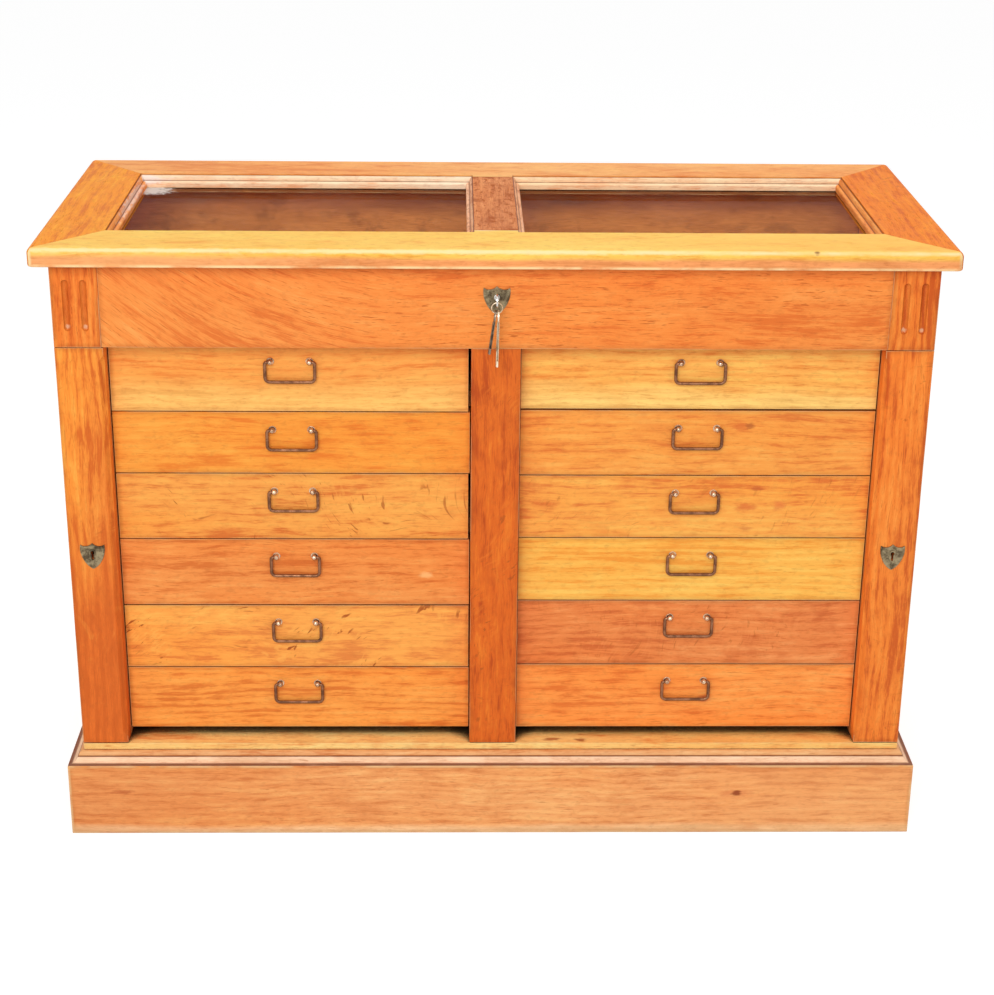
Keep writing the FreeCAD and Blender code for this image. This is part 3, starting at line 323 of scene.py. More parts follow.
def set_piece(name, mesh, body, finish, node):
    """Puts a piece in its place on its body, in its finish, for the node it is a part of."""
    piece = bpy.data.objects.new(name, mesh)
    bpy.context.scene.collection.objects.link(piece)
    mesh.materials.append(finish)
    weighted = piece.modifiers.new("flat faces stay flat", "WEIGHTED_NORMAL")
    weighted.keep_sharp = True
    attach(piece, body)
    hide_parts(node)


# Along the grain first, then across the board's face, then through it.
grain_axes = {"x": (0, 2, 1), "y": (1, 0, 2), "z": (2, 0, 1)}
# How far apart two logs lie in the same grain, in metres along those three axes.
logs_apart = (3.1, 1.7, 0.9)


def oak_board(name, shape, finish, along, log, node, body="carcass", arris=0.0009, spacing=0.06,
              rise=None):
    """Works a board: its arrises are broken and its grain runs along one axis, from a log of its own."""
    bmesh.ops.dissolve_limit(shape, angle_limit=flat_within, verts=shape.verts, edges=shape.edges)
    first, second, third = grain_axes[along]
    cross_cuts(shape, first, spacing)
    low = Vector(min(vert.co[axis] for vert in shape.verts) for axis in range(3))
    high = Vector(max(vert.co[axis] for vert in shape.verts) for axis in range(3))
    if arris:
        break_arrises(shape, arris, seed=log * 1.7)
    mesh = made_mesh(name, shape)
    grain, from_low, from_high = [], [], []
    for vert in mesh.vertices:
        lift = rise(vert.co) if rise else 0.0
        spot = (vert.co[first], vert.co[second] - lift, vert.co[third])
        grain += [distance + step * log for distance, step in zip(spot, logs_apart)]
        from_low += (vert.co - low)[:]
        from_high += (high - vert.co)[:]
    for label, values in (("grain", grain), ("from_low", from_low), ("from_high", from_high)):
        mesh.attributes.new(label, "FLOAT_VECTOR", "POINT").data.foreach_set("vector", values)
    set_piece(name, mesh, body, finish, node)


plinth_low, plinth_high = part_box("plinth_boards")
plinth_thickness = 0.024
plinth_oak = waxed_oak(
    "plinth oak", (250, 182, 112), (241, 161, 95), (216, 128, 67), pores=0.4, rings=0.5, rub=0.5,
    rub_reach=0.005, lower=((248, 200, 146), 0.006, 0.02),
    marks=(
        ((-0.66, plinth_low.y, 0.05), (0.5, 0.3, 0.2), (214, 128, 74), 0.25),
        ((0.62, plinth_low.y, 0.06), (0.6, 0.3, 0.2), (255, 190, 126), 0.25),
        ((0.395, plinth_low.y, 0.073), (0.035, 0.03, 0.009), (222, 130, 74), 0.6),
        ((0.395, plinth_low.y, 0.073), (0.011, 0.03, 0.007), (150, 72, 34), 0.95),
        ((-0.592, plinth_low.y, 0.076), (0.024, 0.03, 0.006), (190, 98, 50), 0.7)))
rough_oak = waxed_oak(
    "unfinished oak", (226, 168, 108), (206, 142, 84), (168, 106, 58), mottle=0.4, soil=0.5, rub=0.1,
    roughness=0.7)


def plinth_owner(spot):
    from_front = spot.y - plinth_low.y
    from_end = plinth_high.x - abs(spot.x)
    if from_front < plinth_thickness and from_front < from_end:
        return "front"
    if from_end < plinth_thickness:
        return "left" if spot.x < 0 else "right"
    return "back" if spot.y > plinth_high.y - plinth_thickness else "bearer"


for side, shape in solids_of("plinth_boards", plinth_owner).items():
    finish = plinth_oak if side in ("front", "left", "right") else rough_oak
    along = "y" if side in ("left", "right", "bearer") else "x"
    oak_board(
        f"plinth_{side}_board", shape, finish, along, log=1 + len(side), arris=0.0006,
        node="plinth_boards")

# ---- the base moulding
# Three oak strips lie on the plinth and carry the floor board. Their ovolo and cove were worked
# with moulding planes, and they meet in mitres at the front corners.
moulding_low, moulding_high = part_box("plinth_moulding")
# The cove under the ovolo is painted paler (lower), as light falls on its upturned face.
moulding_oak = waxed_oak(
    "moulding oak", (244, 194, 138), (236, 174, 116), (212, 132, 76), pores=0.35, mottle=0.3, soil=0.0,
    rub=0.1, lower=((254, 210, 169), 0.0088, 0.0094), quirks=((0.0002, 0.0016), (0.0092, 0.0014)))


def moulding_owner(spot):
    if spot.y - moulding_low.y < moulding_high.x - abs(spot.x):
        return "front"
    return "left" if spot.x < 0 else "right"


for side, shape in solids_of("plinth_moulding", moulding_owner).items():
    oak_board(
        f"base_moulding_{side}", shape, moulding_oak, "x" if side == "front" else "y",
        log=11 + len(side), arris=0.0003, node="plinth_moulding")

# ---- the floor board
# An oak board lies on the plinth and closes it under the whole carcass. It was planed and waxed,
# and its worn front edge shows under the drawers.
floor_low, floor_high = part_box("floor_board")
floor_oak = waxed_oak(
    "floor board oak", (255, 220, 140), (255, 204, 122), (236, 148, 76), pores=0.4, mottle=0.4, soil=0.1,
    # Its corner setting paints a near-black shadow on the board's top under the drawer fronts.
    crevice_shade=(0.035, 0.63, 0.43, 0.98, (20, 9, 6)),
    marks=(
        ((0.1, floor_low.y + 0.012, floor_high.z), (0.02, 0.008, 0.01), (168, 84, 36), 0.8),
        ((0.142, floor_low.y + 0.01, floor_high.z), (0.012, 0.008, 0.01), (150, 70, 30), 0.8)))
oak_board(
    "floor_board_worn", whole("floor_board"), floor_oak, "x", log=17, arris=0.0012,
    node="floor_board")

# ---- the end boards and posts
# An upright board of planed, waxed oak closes each end, and a fixed oak post is glued inside it,
# behind the hinged stile.
sides_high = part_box("carcass_sides")[1]
end_board_thickness = 0.022
end_oak = waxed_oak(
    "end board oak", (250, 162, 82), (242, 141, 66), (212, 104, 42), rings=0.9, soil=0.4, rub=0.35)


def sides_owner(spot):
    part = "end_board" if abs(spot.x) > sides_high.x - end_board_thickness else "post"
    return ("left_" if spot.x < 0 else "right_") + part


for side, shape in solids_of("carcass_sides", sides_owner).items():
    oak_board(side, shape, end_oak, "z", log=20 + len(side), node="carcass_sides")

# ---- the back boards
# Nine upright boards close the back with a fine gap between them, and a rail across their
# inside carries the lid's hinges. They were never waxed.
back_low, back_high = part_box("back_panel")
back_board_count = 9
back_board_thickness = 0.012
back_oak = waxed_oak(
    "bare back oak", (214, 152, 94), (190, 126, 74), (150, 92, 50), pores=0.55, rings=0.9, mottle=0.5,
    soil=0.6, rub=0.1, roughness=0.72)
# Painted shade: the tray's rear wall is darker towards its top, where the back rail shades it, and paler
# below (lower).
shaded_lining_oak = waxed_oak(
    "shaded lining oak", (178, 110, 46), (164, 97, 38), (140, 75, 26), rings=0.1, mottle=0.5, soil=0.3,
    rub=0.0, lower=((236, 156, 76), 0.055, 0.116), roughness=0.6, gloss=0.05)


def back_owner(spot):
    if spot.y < back_high.y - back_board_thickness:
        return "rail"
    return int(back_board_count * (spot.x - back_low.x) / (back_high.x - back_low.x))


for key, shape in solids_of("back_panel", back_owner).items():
    name = "lid_hinge_rail" if key == "rail" else f"back_board_{key + 1}"
    oak_board(
        name, shape, shaded_lining_oak if key == "rail" else back_oak,
        "x" if key == "rail" else "z", log=30 + (0 if key == "rail" else 1 + key * 2.3), arris=0.0006,
        node="back_panel")

# ---- the partition and centre stile
# A board divides the two columns of drawers, and the fixed centre stile in front of it is
# quarter-sawn oak with a strong ray fleck.
post_back_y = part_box("drawer_runners")[0].y
stile_red_oak = waxed_oak(
    "centre stile oak", (233, 126, 40), (220, 106, 30), (184, 75, 18), pores=0.45, fleck=0.75,
    fleck_lean=0.75, mottle=0.5, soil=0.5, rub=0.25)
for part, shape in solids_of("centre_divider", lambda spot: spot.y < post_back_y).items():
    oak_board(
        "centre_stile" if part else "partition", shape, stile_red_oak if part else rough_oak,
        "z" if part else "y", log=45 if part else 46, node="centre_divider")

# ---- the runners and guides
# An oak runner carries each side of every drawer, with a guide glued on it. They are polished
# by the drawers and left bare.
runner_oak = waxed_oak(
    "runner oak", (216, 156, 98), (196, 132, 78), (158, 98, 54), pores=0.4, mottle=0.4, soil=0.3, rub=0.2,
    roughness=0.55)
runners = bmesh.new()
runners.from_mesh(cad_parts["drawer_runners"].data)
bmesh.ops.remove_doubles(runners, verts=runners.verts, dist=same_spot)
oak_board(
    "runners_and_guides", runners, runner_oak, "y", log=50, arris=0.0004, spacing=0.2,
    node="drawer_runners")

# ---- the apron
# One wide oak board above the drawers, bored for the lid's lock. Its grain falls away towards
# the left end, so its pores lean there.
apron_low, apron_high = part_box("apron")
grain_turn_x = -0.12
grain_fall = 0.9


def apron_rise(spot):
    """How far the grain has climbed where it runs down to the right at the left end."""
    past = min(0.0, spot.x - grain_turn_x)
    return grain_fall * past * past


apron_oak = waxed_oak(
    "apron oak", (247, 156, 77), (243, 143, 64), (225, 115, 45), pores=0.75, rings=0.35, mottle=0.25,
    soil=0.4, rub=0.25)
oak_board(
    "apron_board", whole("apron"), apron_oak, "x", log=54, spacing=0.03, rise=apron_rise,
    node="apron")

# ---- the corner blocks
# A block closes each end of the apron, with two stopped flutes cut by a round plane. Painted
# shade darkens the flutes, and a pale spot is painted at their feet.
blocks_low, blocks_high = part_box("corner_blocks")
flute_half_spacing = 0.01325
block_half_width = 0.035
flute_foot_z = blocks_low.z + 0.031
flute_feet = []
for side in (-1, 1):
    for step in (-1, 1):
        foot_x = side * (blocks_high.x - block_half_width) + step * flute_half_spacing
        foot = ((foot_x, blocks_low.y + 0.003, flute_foot_z), (0.0045, 0.006, 0.0045), (252, 200, 158), 0.9)
        flute_feet.append(foot)
block_oak = waxed_oak(
    "corner block oak", (244, 145, 59), (237, 126, 44), (201, 88, 24), pores=0.55, rings=0.9, mottle=0.6,
    soil=0.5, marks=flute_feet, crevice_shade=(0.01, 0.98, 0.8, 0.32, (140, 54, 14)))
for side, shape in solids_of("corner_blocks", lambda spot: spot.x > 0).items():
    oak_board(
        "right_corner_block" if side else "left_corner_block", shape, block_oak, "z",
        log=60 + 3.3 * side, arris=0.0008, node="corner_blocks")

# ---- the display tray's floor
# A thin oak board under the lid, on which the goods were shown. It lies between the apron and the
# hinge rail, stained brown and dusty.
tray_oak = waxed_oak(
    "tray floor oak", (228, 142, 70), (210, 124, 56), (176, 94, 38), pores=0.25, rings=0.08, mottle=0.4,
    soil=0.3, rub=0.0, roughness=0.62)
oak_board(
    "display_tray_floor", whole("display_floor"), tray_oak, "x", log=65,
    node="display_floor")


# ---- the fixed metalwork
# Brass hinge leaves and pins, the lid's chest lock, the staples behind the stiles, and the
# shield on the apron: stamped brass, once nickelled, held by three round pins.
def old_metal(name, bright, dull, dark, roughness, metal=0.9):
    """Handled metal: bright where it is touched, with dull plating and dark dirt."""
    material, put = new_finish(name)
    bright, dull, dark = tint(*bright), tint(*dull), tint(*dark)
    place = put("TexCoord", {}).outputs["Object"]
    patches, specks = clouds(put, place, 90.0, 4.0, 0.65), clouds(put, place, 340.0, 3.0, 0.65)
    worn_edge = put("NewGeometry", {}).outputs["Pointiness"]
    colour = overlay(put, ease(put, patches, 0.38, 0.62), dull, bright)
    colour = overlay(put, ease(put, specks, 0.54, 0.72, 0.0, 0.5), colour, dark)
    colour = overlay(put, ease(put, worn_edge, 0.51, 0.58, 0.0, 0.6), colour, bright)
    colour = overlay(put, ease(put, worn_edge, 0.49, 0.42, 0.0, 0.7), colour, dark)
    dullness = ease(put, patches, 0.7, 0.3, roughness - 0.1, roughness + 0.12)
    pits = sums(put, "ADD", patches, specks)
    bump = put("Bump", {"Height": pits, "Strength": 0.25, "Distance": 0.0002}).outputs["Normal"]
    inputs = {"Base Color": colour, "Metallic": metal, "Roughness": dullness, "Normal": bump}
    fill(material.node_tree.nodes["Principled BSDF"], inputs)
    return material


def metal_piece(name, shape, body, finish, node, arris=0.00015):
    """Files a metal piece's edges and sets it on its body."""
    bmesh.ops.dissolve_limit(shape, angle_limit=flat_within, verts=shape.verts, edges=shape.edges)
    if arris:
        break_arrises(shape, arris)
    set_piece(name, made_mesh(name, shape, smooth_below=32), body, finish, node)


keyhole_up_shield = 0.45


def drawn_shield(shape, narrower, longer):
    """Draws a stamped shield in across its width, and out to a longer point below its keyhole."""
    across, up = [vert.co.x for vert in shape.verts], [vert.co.z for vert in shape.verts]
    middle_x = (min(across) + max(across)) / 2
    keyhole_z = min(up) + keyhole_up_shield * (max(up) - min(up))
    for vert in shape.verts:
        vert.co.x = middle_x + (vert.co.x - middle_x) * narrower
        vert.co.z = min(vert.co.z, keyhole_z - (keyhole_z - vert.co.z) * longer)
    return shape


hinge_brass = old_metal("hinge brass", (206, 168, 104), (160, 124, 70), (84, 60, 32), 0.42)
shield_nickel = old_metal("shield nickel", (156, 140, 108), (92, 78, 58), (36, 27, 19), 0.40)
shield_front_gap = 0.0002


def apron_metal_owner(spot):
    """The shield and its pins stand in front of the apron, and all else lies behind its face."""
    in_front = spot.y < apron_low.y + shield_front_gap
    return "shield" if in_front and abs(spot.x) < apron_high.x / 2 else "rest"


fixed_metal = solids_of("carcass_fittings", apron_metal_owner)
metal_piece(
    "apron_shield", drawn_shield(fixed_metal["shield"], narrower=0.97, longer=1.24), "carcass",
    shield_nickel, arris=0.0003, node="carcass_fittings")
metal_piece(
    "fixed_hinge_leaves_and_lock", fixed_metal["rest"], "carcass", hinge_brass, arris=0.0,
    node="carcass_fittings")

# ---- the hinged stiles
# At each end a heavy oak stile swings on two brass hinges and locks over the drawers. Its inner
# arris has a stopped chamfer, and a shield covers its keyhole.
left_stile_oak = waxed_oak(
    "left stile oak", (253, 174, 74), (246, 149, 56), (214, 106, 34), rings=0.6, fleck=0.35, fleck_lean=0.3,
    mottle=0.5, lower=((226, 110, 36), 0.08, 0.56))
right_stile_oak = waxed_oak(
    "right stile oak", (250, 147, 59), (242, 130, 46), (206, 92, 29), rings=0.6, fleck=0.35,
    fleck_lean=-0.3, mottle=0.5)
stile_face_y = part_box("left_stile")[0].y


def stile_metal_owner(spot):
    return "shield" if spot.y < stile_face_y + shield_front_gap else "rest"


for side, finish, log in (("left", left_stile_oak, 70), ("right", right_stile_oak, 77)):
    body = f"{side}_stile"
    oak_board(f"{side}_hinged_stile", whole(body), finish, "z", body=body, log=log, node=body)
    fittings = f"{side}_stile_fittings"
    metal = solids_of(fittings, stile_metal_owner)
    metal_piece(
        f"{side}_stile_shield", drawn_shield(metal["shield"], narrower=0.92, longer=1.22), body,
        shield_nickel, arris=0.0003, node=fittings)
    metal_piece(f"{side}_stile_hinges_and_lock", metal["rest"], body, hinge_brass, arris=0.0, node=fittings)
    bolt = f"{side}_stile_bolt"
    metal_piece(f"{side}_lock_bolt", whole(bolt), bolt, hinge_brass, node=bolt)

# ---- the drawer fronts
# Twelve oak fronts, cut from boards of different figure and colour, run from pale yellow to
# brown red. Each was fitted by hand, so no two gaps are quite alike.
front_thickness = 0.022
nut_thickness = 0.003
mark_depth = 0.03


def front_mark(place, across, up, half_width, half_height, shade, strength):
    """A mark on a drawer front, placed by its share of the front's width and height."""
    low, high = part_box(f"drawer_{place}_front")
    face_y = high.y - nut_thickness - front_thickness
    centre = (low.x + across * (high.x - low.x), face_y, low.z + up * (high.z - low.z))
    return centre, (half_width, mark_depth, half_height), shade, strength


usual_front = dict(pores=0.26, rings=0.5, mottle=0.3, soil=0.35)
front_boards = {
    "left_1": dict(
        tones=((247, 175, 83), (245, 160, 73), (233, 131, 52)), mottle=0.2,
        lower=((252, 188, 98), 0.02, 0.06)),
    "left_2": dict(tones=((247, 167, 67), (245, 154, 57), (231, 125, 40)), rings=0.4, mottle=0.25),
    "left_3": dict(
        tones=((247, 172, 78), (245, 159, 70), (219, 115, 45)), pores=0.3, rings=0.4, fleck=0.7,
        fleck_lean=-0.5),
    "left_4": dict(
        tones=((245, 159, 82), (240, 144, 69), (216, 113, 46)), pores=0.45, mottle=0.4, soil=0.4,
        marks=((0.875, 0.46, 0.014, 0.009, (252, 186, 116), 0.8),)),
    "left_5": dict(
        tones=((254, 183, 87), (251, 164, 74), (228, 130, 58)), rings=0.3, fleck=0.95, fleck_lean=1.05,
        soil=0.4),
    "left_6": dict(
        tones=((252, 168, 78), (250, 155, 66), (224, 119, 44)), pores=0.38, rings=0.6, mottle=0.35,
        soil=0.4),
    "right_1": dict(
        tones=((249, 190, 91), (247, 171, 79), (231, 137, 54)), rings=0.6, mottle=0.2,
        lower=((252, 203, 112), 0.015, 0.055)),
    "right_2": dict(
        tones=((248, 176, 86), (245, 160, 72), (223, 124, 53)), pores=0.3, mottle=0.35,
        marks=(
            (0.62, 0.76, 0.018, 0.01, (214, 104, 44), 0.7),
            (0.65, 0.78, 0.01, 0.007, (178, 92, 40), 0.8),
            (0.45, 0.72, 0.008, 0.005, (196, 100, 44), 0.7))),
    "right_3": dict(
        tones=((249, 179, 82), (247, 162, 70), (224, 121, 51)), pores=0.3, fleck=0.3, mottle=0.35,
        marks=(
            (0.65, 0.5, 0.022, 0.011, (218, 106, 48), 0.75),
            (0.745, 0.52, 0.014, 0.01, (222, 112, 56), 0.6),
            (0.68, 0.8, 0.012, 0.006, (196, 96, 44), 0.7),
            (0.65, 0.14, 0.014, 0.006, (206, 104, 50), 0.5))),
    "right_4": dict(tones=((251, 199, 95), (250, 184, 81), (242, 156, 58)), rings=0.7, mottle=0.2),
    "right_5": dict(
        tones=((243, 153, 86), (233, 133, 68), (208, 104, 49)), pores=0.38, rings=0.45, fleck=0.4,
        fleck_lean=0.2, mottle=0.5, soil=0.45),
    "right_6": dict(
        tones=((253, 168, 85), (253, 153, 70), (229, 119, 48)), pores=0.38, soil=0.4,
        marks=((0.56, 0.45, 0.013, 0.01, (206, 100, 58), 0.7),))}
front_finishes = {}
for place, board in front_boards.items():
    column, row = place.split("_")
    marks = [front_mark(place, *mark) for mark in board.pop("marks", ())]
    look = {**usual_front, **board, "marks": marks}
    front_finishes[place] = waxed_oak(f"{column} front {row} oak", *look.pop("tones"), **look)

# A front's face stands this far before its box's sides. Its top and bottom were left a little
# taller, then planed by hand.
face_before_sides = 0.008
left_taller = 0.0006
planing = 0.0002
column_rows = [(column, row) for column in ("left", "right") for row in range(1, 7)]
fitting = random.Random(12)
# How far a few fronts stop short at their right end and at their bottom edge.
short_ends = {"left_1": 0.0026, "left_3": 0.0020, "left_5": 0.0006}
short_bottoms = {"right_1": 0.0016, "left_4": 0.0006}
for index, (column, row) in enumerate(column_rows):
    place = f"{column}_{row}"
    front_low, front_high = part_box(f"drawer_{place}_front")
    face_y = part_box(f"drawer_{place}_box")[0].y - face_before_sides
    low = Vector((front_low.x, face_y, front_low.z - left_taller))
    high = Vector((front_high.x, face_y + front_thickness, front_high.z + left_taller))
    shape = bmesh.new()
    bmesh.ops.create_cube(shape, size=1.0)
    planed = [fitting.uniform(0.0, planing) for _ in range(4)]
    for vert in shape.verts:
        at_right, at_top = vert.co.x > 0, vert.co.z > 0
        vert.co = Vector(l + (h - l) * (c + 0.5) for l, h, c in zip(low, high, vert.co))
        vert.co.z += planed[at_right + 2 * at_top] * (-1 if at_top else 1)
        if at_right:
            vert.co.x -= short_ends.get(place, 0.0)
        if not at_top:
            vert.co.z += short_bottoms.get(place, 0.0)
    oak_board(
        f"{column}_front_{row}", shape, front_finishes[place], "x",
        body=f"drawer_{place}", log=80 + 5.3 * index, arris=0.0004, node=f"drawer_{place}_front")


# ---- the drawer boxes
# Each drawer has plain oak sides, back and bottom. The sides are housed in the front, the back
# stands on the bottom, and all are left without wax.
box_side_thickness = 0.009
box_back_foot = 0.0101


def box_owner(low, high):
    """The owner of each place in one drawer's box, whose back stands on its bottom."""
    def owner(spot):
        if spot.x < low.x + box_side_thickness:
            return "left"
        if spot.x > high.x - box_side_thickness:
            return "right"
        in_back = spot.y > high.y - box_side_thickness and spot.z > low.z + box_back_foot
        return "back" if in_back else "bottom"

    return owner


lining_pale = waxed_oak(
    "drawer lining oak", (232, 184, 128), (216, 162, 104), (180, 122, 70), pores=0.4, rings=0.7, soil=0.35,
    rub=0.15, roughness=0.66)
for index, (column, row) in enumerate(column_rows):
    node = f"drawer_{column}_{row}_box"
    for part, shape in solids_of(node, box_owner(*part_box(node))).items():
        oak_board(
            f"{column}_box_{row}_{part}", shape, lining_pale,
            "x" if part in ("back", "bottom") else "y", body=f"drawer_{column}_{row}",
            log=150 + 7.1 * index + len(part), arris=0.0005, spacing=0.15, node=node)


# ---- the bails and their studs
# Drop handles of dark bronzed wire, their ends turned into round-headed studs that pass through
# the front. The stud heads and the lower bar are rubbed bright.
def ring_of(centre, along, out, radius, count=18):
    """A circle of points round a wire, with out as one of its radii."""
    second = along.cross(out).normalized()
    turns = [2 * math.pi * step / count for step in range(count)]
    return [centre + radius * (math.cos(turn) * out + math.sin(turn) * second) for turn in turns]


def skin_rings(shape, rings):
    """Joins circles of points into a closed round bar."""
    loops = [[shape.verts.new(spot) for spot in ring] for ring in rings]
    for first, second in zip(loops, loops[1:]):
        for step in range(len(first)):
            following = (step + 1) % len(first)
            shape.faces.new((first[step], first[following], second[following], second[step]))
    shape.faces.new(list(reversed(loops[0])))
    shape.faces.new(loops[-1])


wire_radius = 0.0025
pin_radius = 0.0016
pin_reach = 0.006
shoulder_radius = 0.0033
foot_radius = 0.007
hammer_dent = 0.05
ball_radius = 0.0043
neck_radius = 0.0028
neck_flare = 0.0008
rose_radius = 0.006
rose_thickness = 0.0012
rose_arris = 0.0005
nut_radius = 0.005
nut_arris = 0.0005
end_gap = 0.0004
bail_bronze = old_metal("bail bronze", (150, 104, 74), (104, 66, 44), (50, 30, 20), 0.40, metal=0.8)
stud_bronze = old_metal("stud bronze", (230, 200, 168), (146, 108, 80), (56, 36, 26), 0.26)


def bail_bends(centre_x, axis_z, half, drop):
    """The middle line of a bail, from its left pin to its right one, as (x, z, radius) stations."""
    leg, end = half - wire_radius, half - wire_radius - shoulder_radius
    low = drop - wire_radius
    straight = low - foot_radius - shoulder_radius
    quarter = [math.radians(90 * step / 6) for step in range(7)]
    bends = [(-end - shoulder_radius * math.sin(turn), -shoulder_radius * (1 - math.cos(turn)))
             for turn in quarter[1:]]
    bends += [(-leg, -shoulder_radius - straight * step / 5) for step in range(1, 5)]
    bends += [(-leg + foot_radius * (1 - math.cos(turn)), -low + foot_radius * (1 - math.sin(turn)))
              for turn in quarter]
    bends += [(-(leg - foot_radius) * (1 - step / 4), -low) for step in range(1, 4)]
    stations = [(-end + pin_reach, 0.0, pin_radius), (-end, 0.0, pin_radius), (-end, 0.0, wire_radius)]
    stations += [(x, z, wire_radius) for x, z in bends]
    mirrored = [(-x, z, radius) for x, z, radius in reversed(stations)]
    stations.append((0.0, -low, wire_radius))
    return [(centre_x + x, axis_z + z, radius) for x, z, radius in stations + mirrored]


def bent_bail(centre_x, axis_y, axis_z, half, drop):
    """A bail bent from one wire, with the marks of the hammer."""
    stations = bail_bends(centre_x, axis_z, half, drop)
    shape = bmesh.new()
    rings = []
    out = Vector((0, -1, 0))
    for index, (x, z, radius) in enumerate(stations):
        before = stations[max(0, index - 1)]
        after = stations[min(len(stations) - 1, index + 1)]
        along = Vector((after[0] - before[0], 0, after[1] - before[1])).normalized()
        hammered = 1 - hammer_dent * max(0.0, noise.noise(Vector((x * 90, z * 90, centre_x))))
        rings.append(ring_of(Vector((x, axis_y, z)), along, out, radius * hammered))
    skin_rings(shape, rings)
    return shape


def turned_stud(shape, x, axis_y, z, face_y, inner_y):
    """A ball-headed stud with its rose in front of the board and a round nut behind it."""
    profile = []
    neck_start = math.degrees(math.asin(neck_radius / ball_radius))
    for step in range(11):
        turn = math.radians(step * (180 - neck_start) / 10)
        profile.append((axis_y - ball_radius * math.cos(turn), max(0.0001, ball_radius * math.sin(turn))))
    rose_y = face_y - rose_thickness
    profile += [(rose_y - neck_flare / 4, neck_radius), (rose_y, neck_radius + neck_flare)]
    profile += [(rose_y, rose_radius - rose_arris), (rose_y + rose_arris, rose_radius), (face_y, rose_radius)]
    nut_y = inner_y + nut_thickness
    nut = [(inner_y, nut_radius), (nut_y - 0.8 * nut_arris, nut_radius),
           (nut_y, nut_radius - 1.2 * nut_arris)]
    along, out = Vector((0, 1, 0)), Vector((1, 0, 0))
    for turned in (profile, nut):
        skin_rings(shape, [ring_of(Vector((x, y, z)), along, out, radius, 24) for y, radius in turned])


for column, row in column_rows:
    bail_node = f"drawer_{column}_{row}_bail"
    low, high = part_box(bail_node)
    centre_x, axis_y = (low.x + high.x) / 2, (low.y + high.y) / 2
    axis_z = high.z - wire_radius
    half = (high.x - low.x) / 2
    shape = bent_bail(centre_x, axis_y, axis_z, half, axis_z - low.z)
    bmesh.ops.recalc_face_normals(shape, faces=shape.faces)
    mesh = made_mesh(bail_node, shape, smooth_below=50)
    set_piece(f"{column}_bail_{row}", mesh, bail_node, bail_bronze, bail_node)

    front_node = f"drawer_{column}_{row}_front"
    inner_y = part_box(front_node)[1].y - nut_thickness
    stud_offset = half - wire_radius - shoulder_radius - end_gap - ball_radius
    shape = bmesh.new()
    for step in (-1, 1):
        turned_stud(
            shape, centre_x + step * stud_offset, axis_y, axis_z, inner_y - front_thickness, inner_y)
    bmesh.ops.recalc_face_normals(shape, faces=shape.faces)
    name = f"{column}_studs_{row}"
    set_piece(
        name, made_mesh(name, shape), f"drawer_{column}_{row}", stud_bronze, front_node)

# ---- the lid frame
# Four oak rails mitred at the corners and a muntin between the panes. Their outer edge is nosed,
# and the tops are worn by years of measuring and cutting. The front rail's top is painted paler
# than its front edge, and its nosing carries a painted highlight.
lid_low, lid_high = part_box("lid_frame")
lip = 0.010
side_rail = 0.098
front_rail = 0.104
back_rail = 0.103
# Painted light: the front rail's yellow top and its redder front edge (lower) show how light falls on them,
# and the rub and the first mark lay a painted highlight, with wear, along the nosing.
lid_front_oak = waxed_oak(
    "lid front rail oak", (247, 206, 100), (246, 196, 91), (238, 163, 66), pores=0.3, rings=0.4,
    mottle=0.15, soil=0.0, rub=1.0, rub_reach=0.0065, lower=((240, 156, 94), 0.013, 0.021), roughness=0.42,
    gloss=0.06,
    marks=(
        # A painted highlight along the nosing.
        ((0.0, lid_low.y + 0.003, lid_high.z - 0.002), (3.0, 0.0062, 0.0055), (255, 234, 176), 0.55),
        ((0.52, lid_low.y + 0.05, lid_high.z), (0.36, 0.3, 0.012), (250, 186, 80), 0.4),
        ((-0.52, lid_low.y, lid_low.z + 0.012), (0.34, 0.01, 0.02), (255, 200, 138), 0.25),
        ((0.465, lid_low.y + 0.004, lid_high.z), (0.006, 0.004, 0.02), (120, 74, 40), 0.8)))
end_rail_look = dict(
    pores=0.45, rings=0.4, fleck=0.35, fleck_lean=0.5, soil=0.15, rub=0.4, roughness=0.44, gloss=0.05)
lid_left_oak = waxed_oak(
    "lid left rail oak", (248, 167, 44), (243, 147, 33), (222, 113, 24), **end_rail_look)
lid_right_oak = waxed_oak(
    "lid right rail oak", (245, 151, 36), (237, 131, 25), (214, 99, 17), **end_rail_look)
# Painted shade darkens the back rail's lip under the glass.
shade_under_glass = (0.0, lid_high.y - back_rail - lip, lid_low.z + 0.002)
lid_back_oak = waxed_oak(
    "lid back rail oak", (247, 183, 107), (243, 169, 97), (228, 137, 67), pores=0.35, rings=0.5, soil=0.15,
    rub=0.4, roughness=0.44, gloss=0.06, marks=((shade_under_glass, (2.0, 0.006, 0.007), (146, 84, 44), 0.95),))
muntin_oak = waxed_oak(
    "muntin oak", (228, 154, 102), (210, 130, 80), (172, 92, 50), pores=0.6, fleck=0.3, mottle=1.0,
    stain=0.9, soil=0.6, roughness=0.6, gloss=0.06)
lid_finishes = {
    "front": lid_front_oak,
    "back": lid_back_oak,
    "left": lid_left_oak,
    "right": lid_right_oak,
    "muntin": muntin_oak}


def lid_owner(spot):
    """Which rail a place in the lid belongs to, by the mitres from its corners to the panes' lips."""
    from_end = (lid_high.x - abs(spot.x)) / (side_rail + lip)
    from_front = (spot.y - lid_low.y) / (front_rail + lip)
    from_back = (lid_high.y - spot.y) / (back_rail + lip)
    if from_front < min(from_end, 1.0):
        return "front"
    if from_back < min(from_end, 1.0):
        return "back"
    if from_end > 1:
        return "muntin"
    return "left" if spot.x < 0 else "right"


rails = solids_of("lid_frame", lid_owner, inward=0.00005)
for index, (side, shape) in enumerate(rails.items()):
    along = "x" if side in ("front", "back") else "y"
    name = "lid_muntin" if side == "muntin" else f"lid_{side}_rail"
    oak_board(
        name, shape, lid_finishes[side], along, body="lid", log=240 + 4.7 * index, arris=0.0005,
        node="lid_frame")
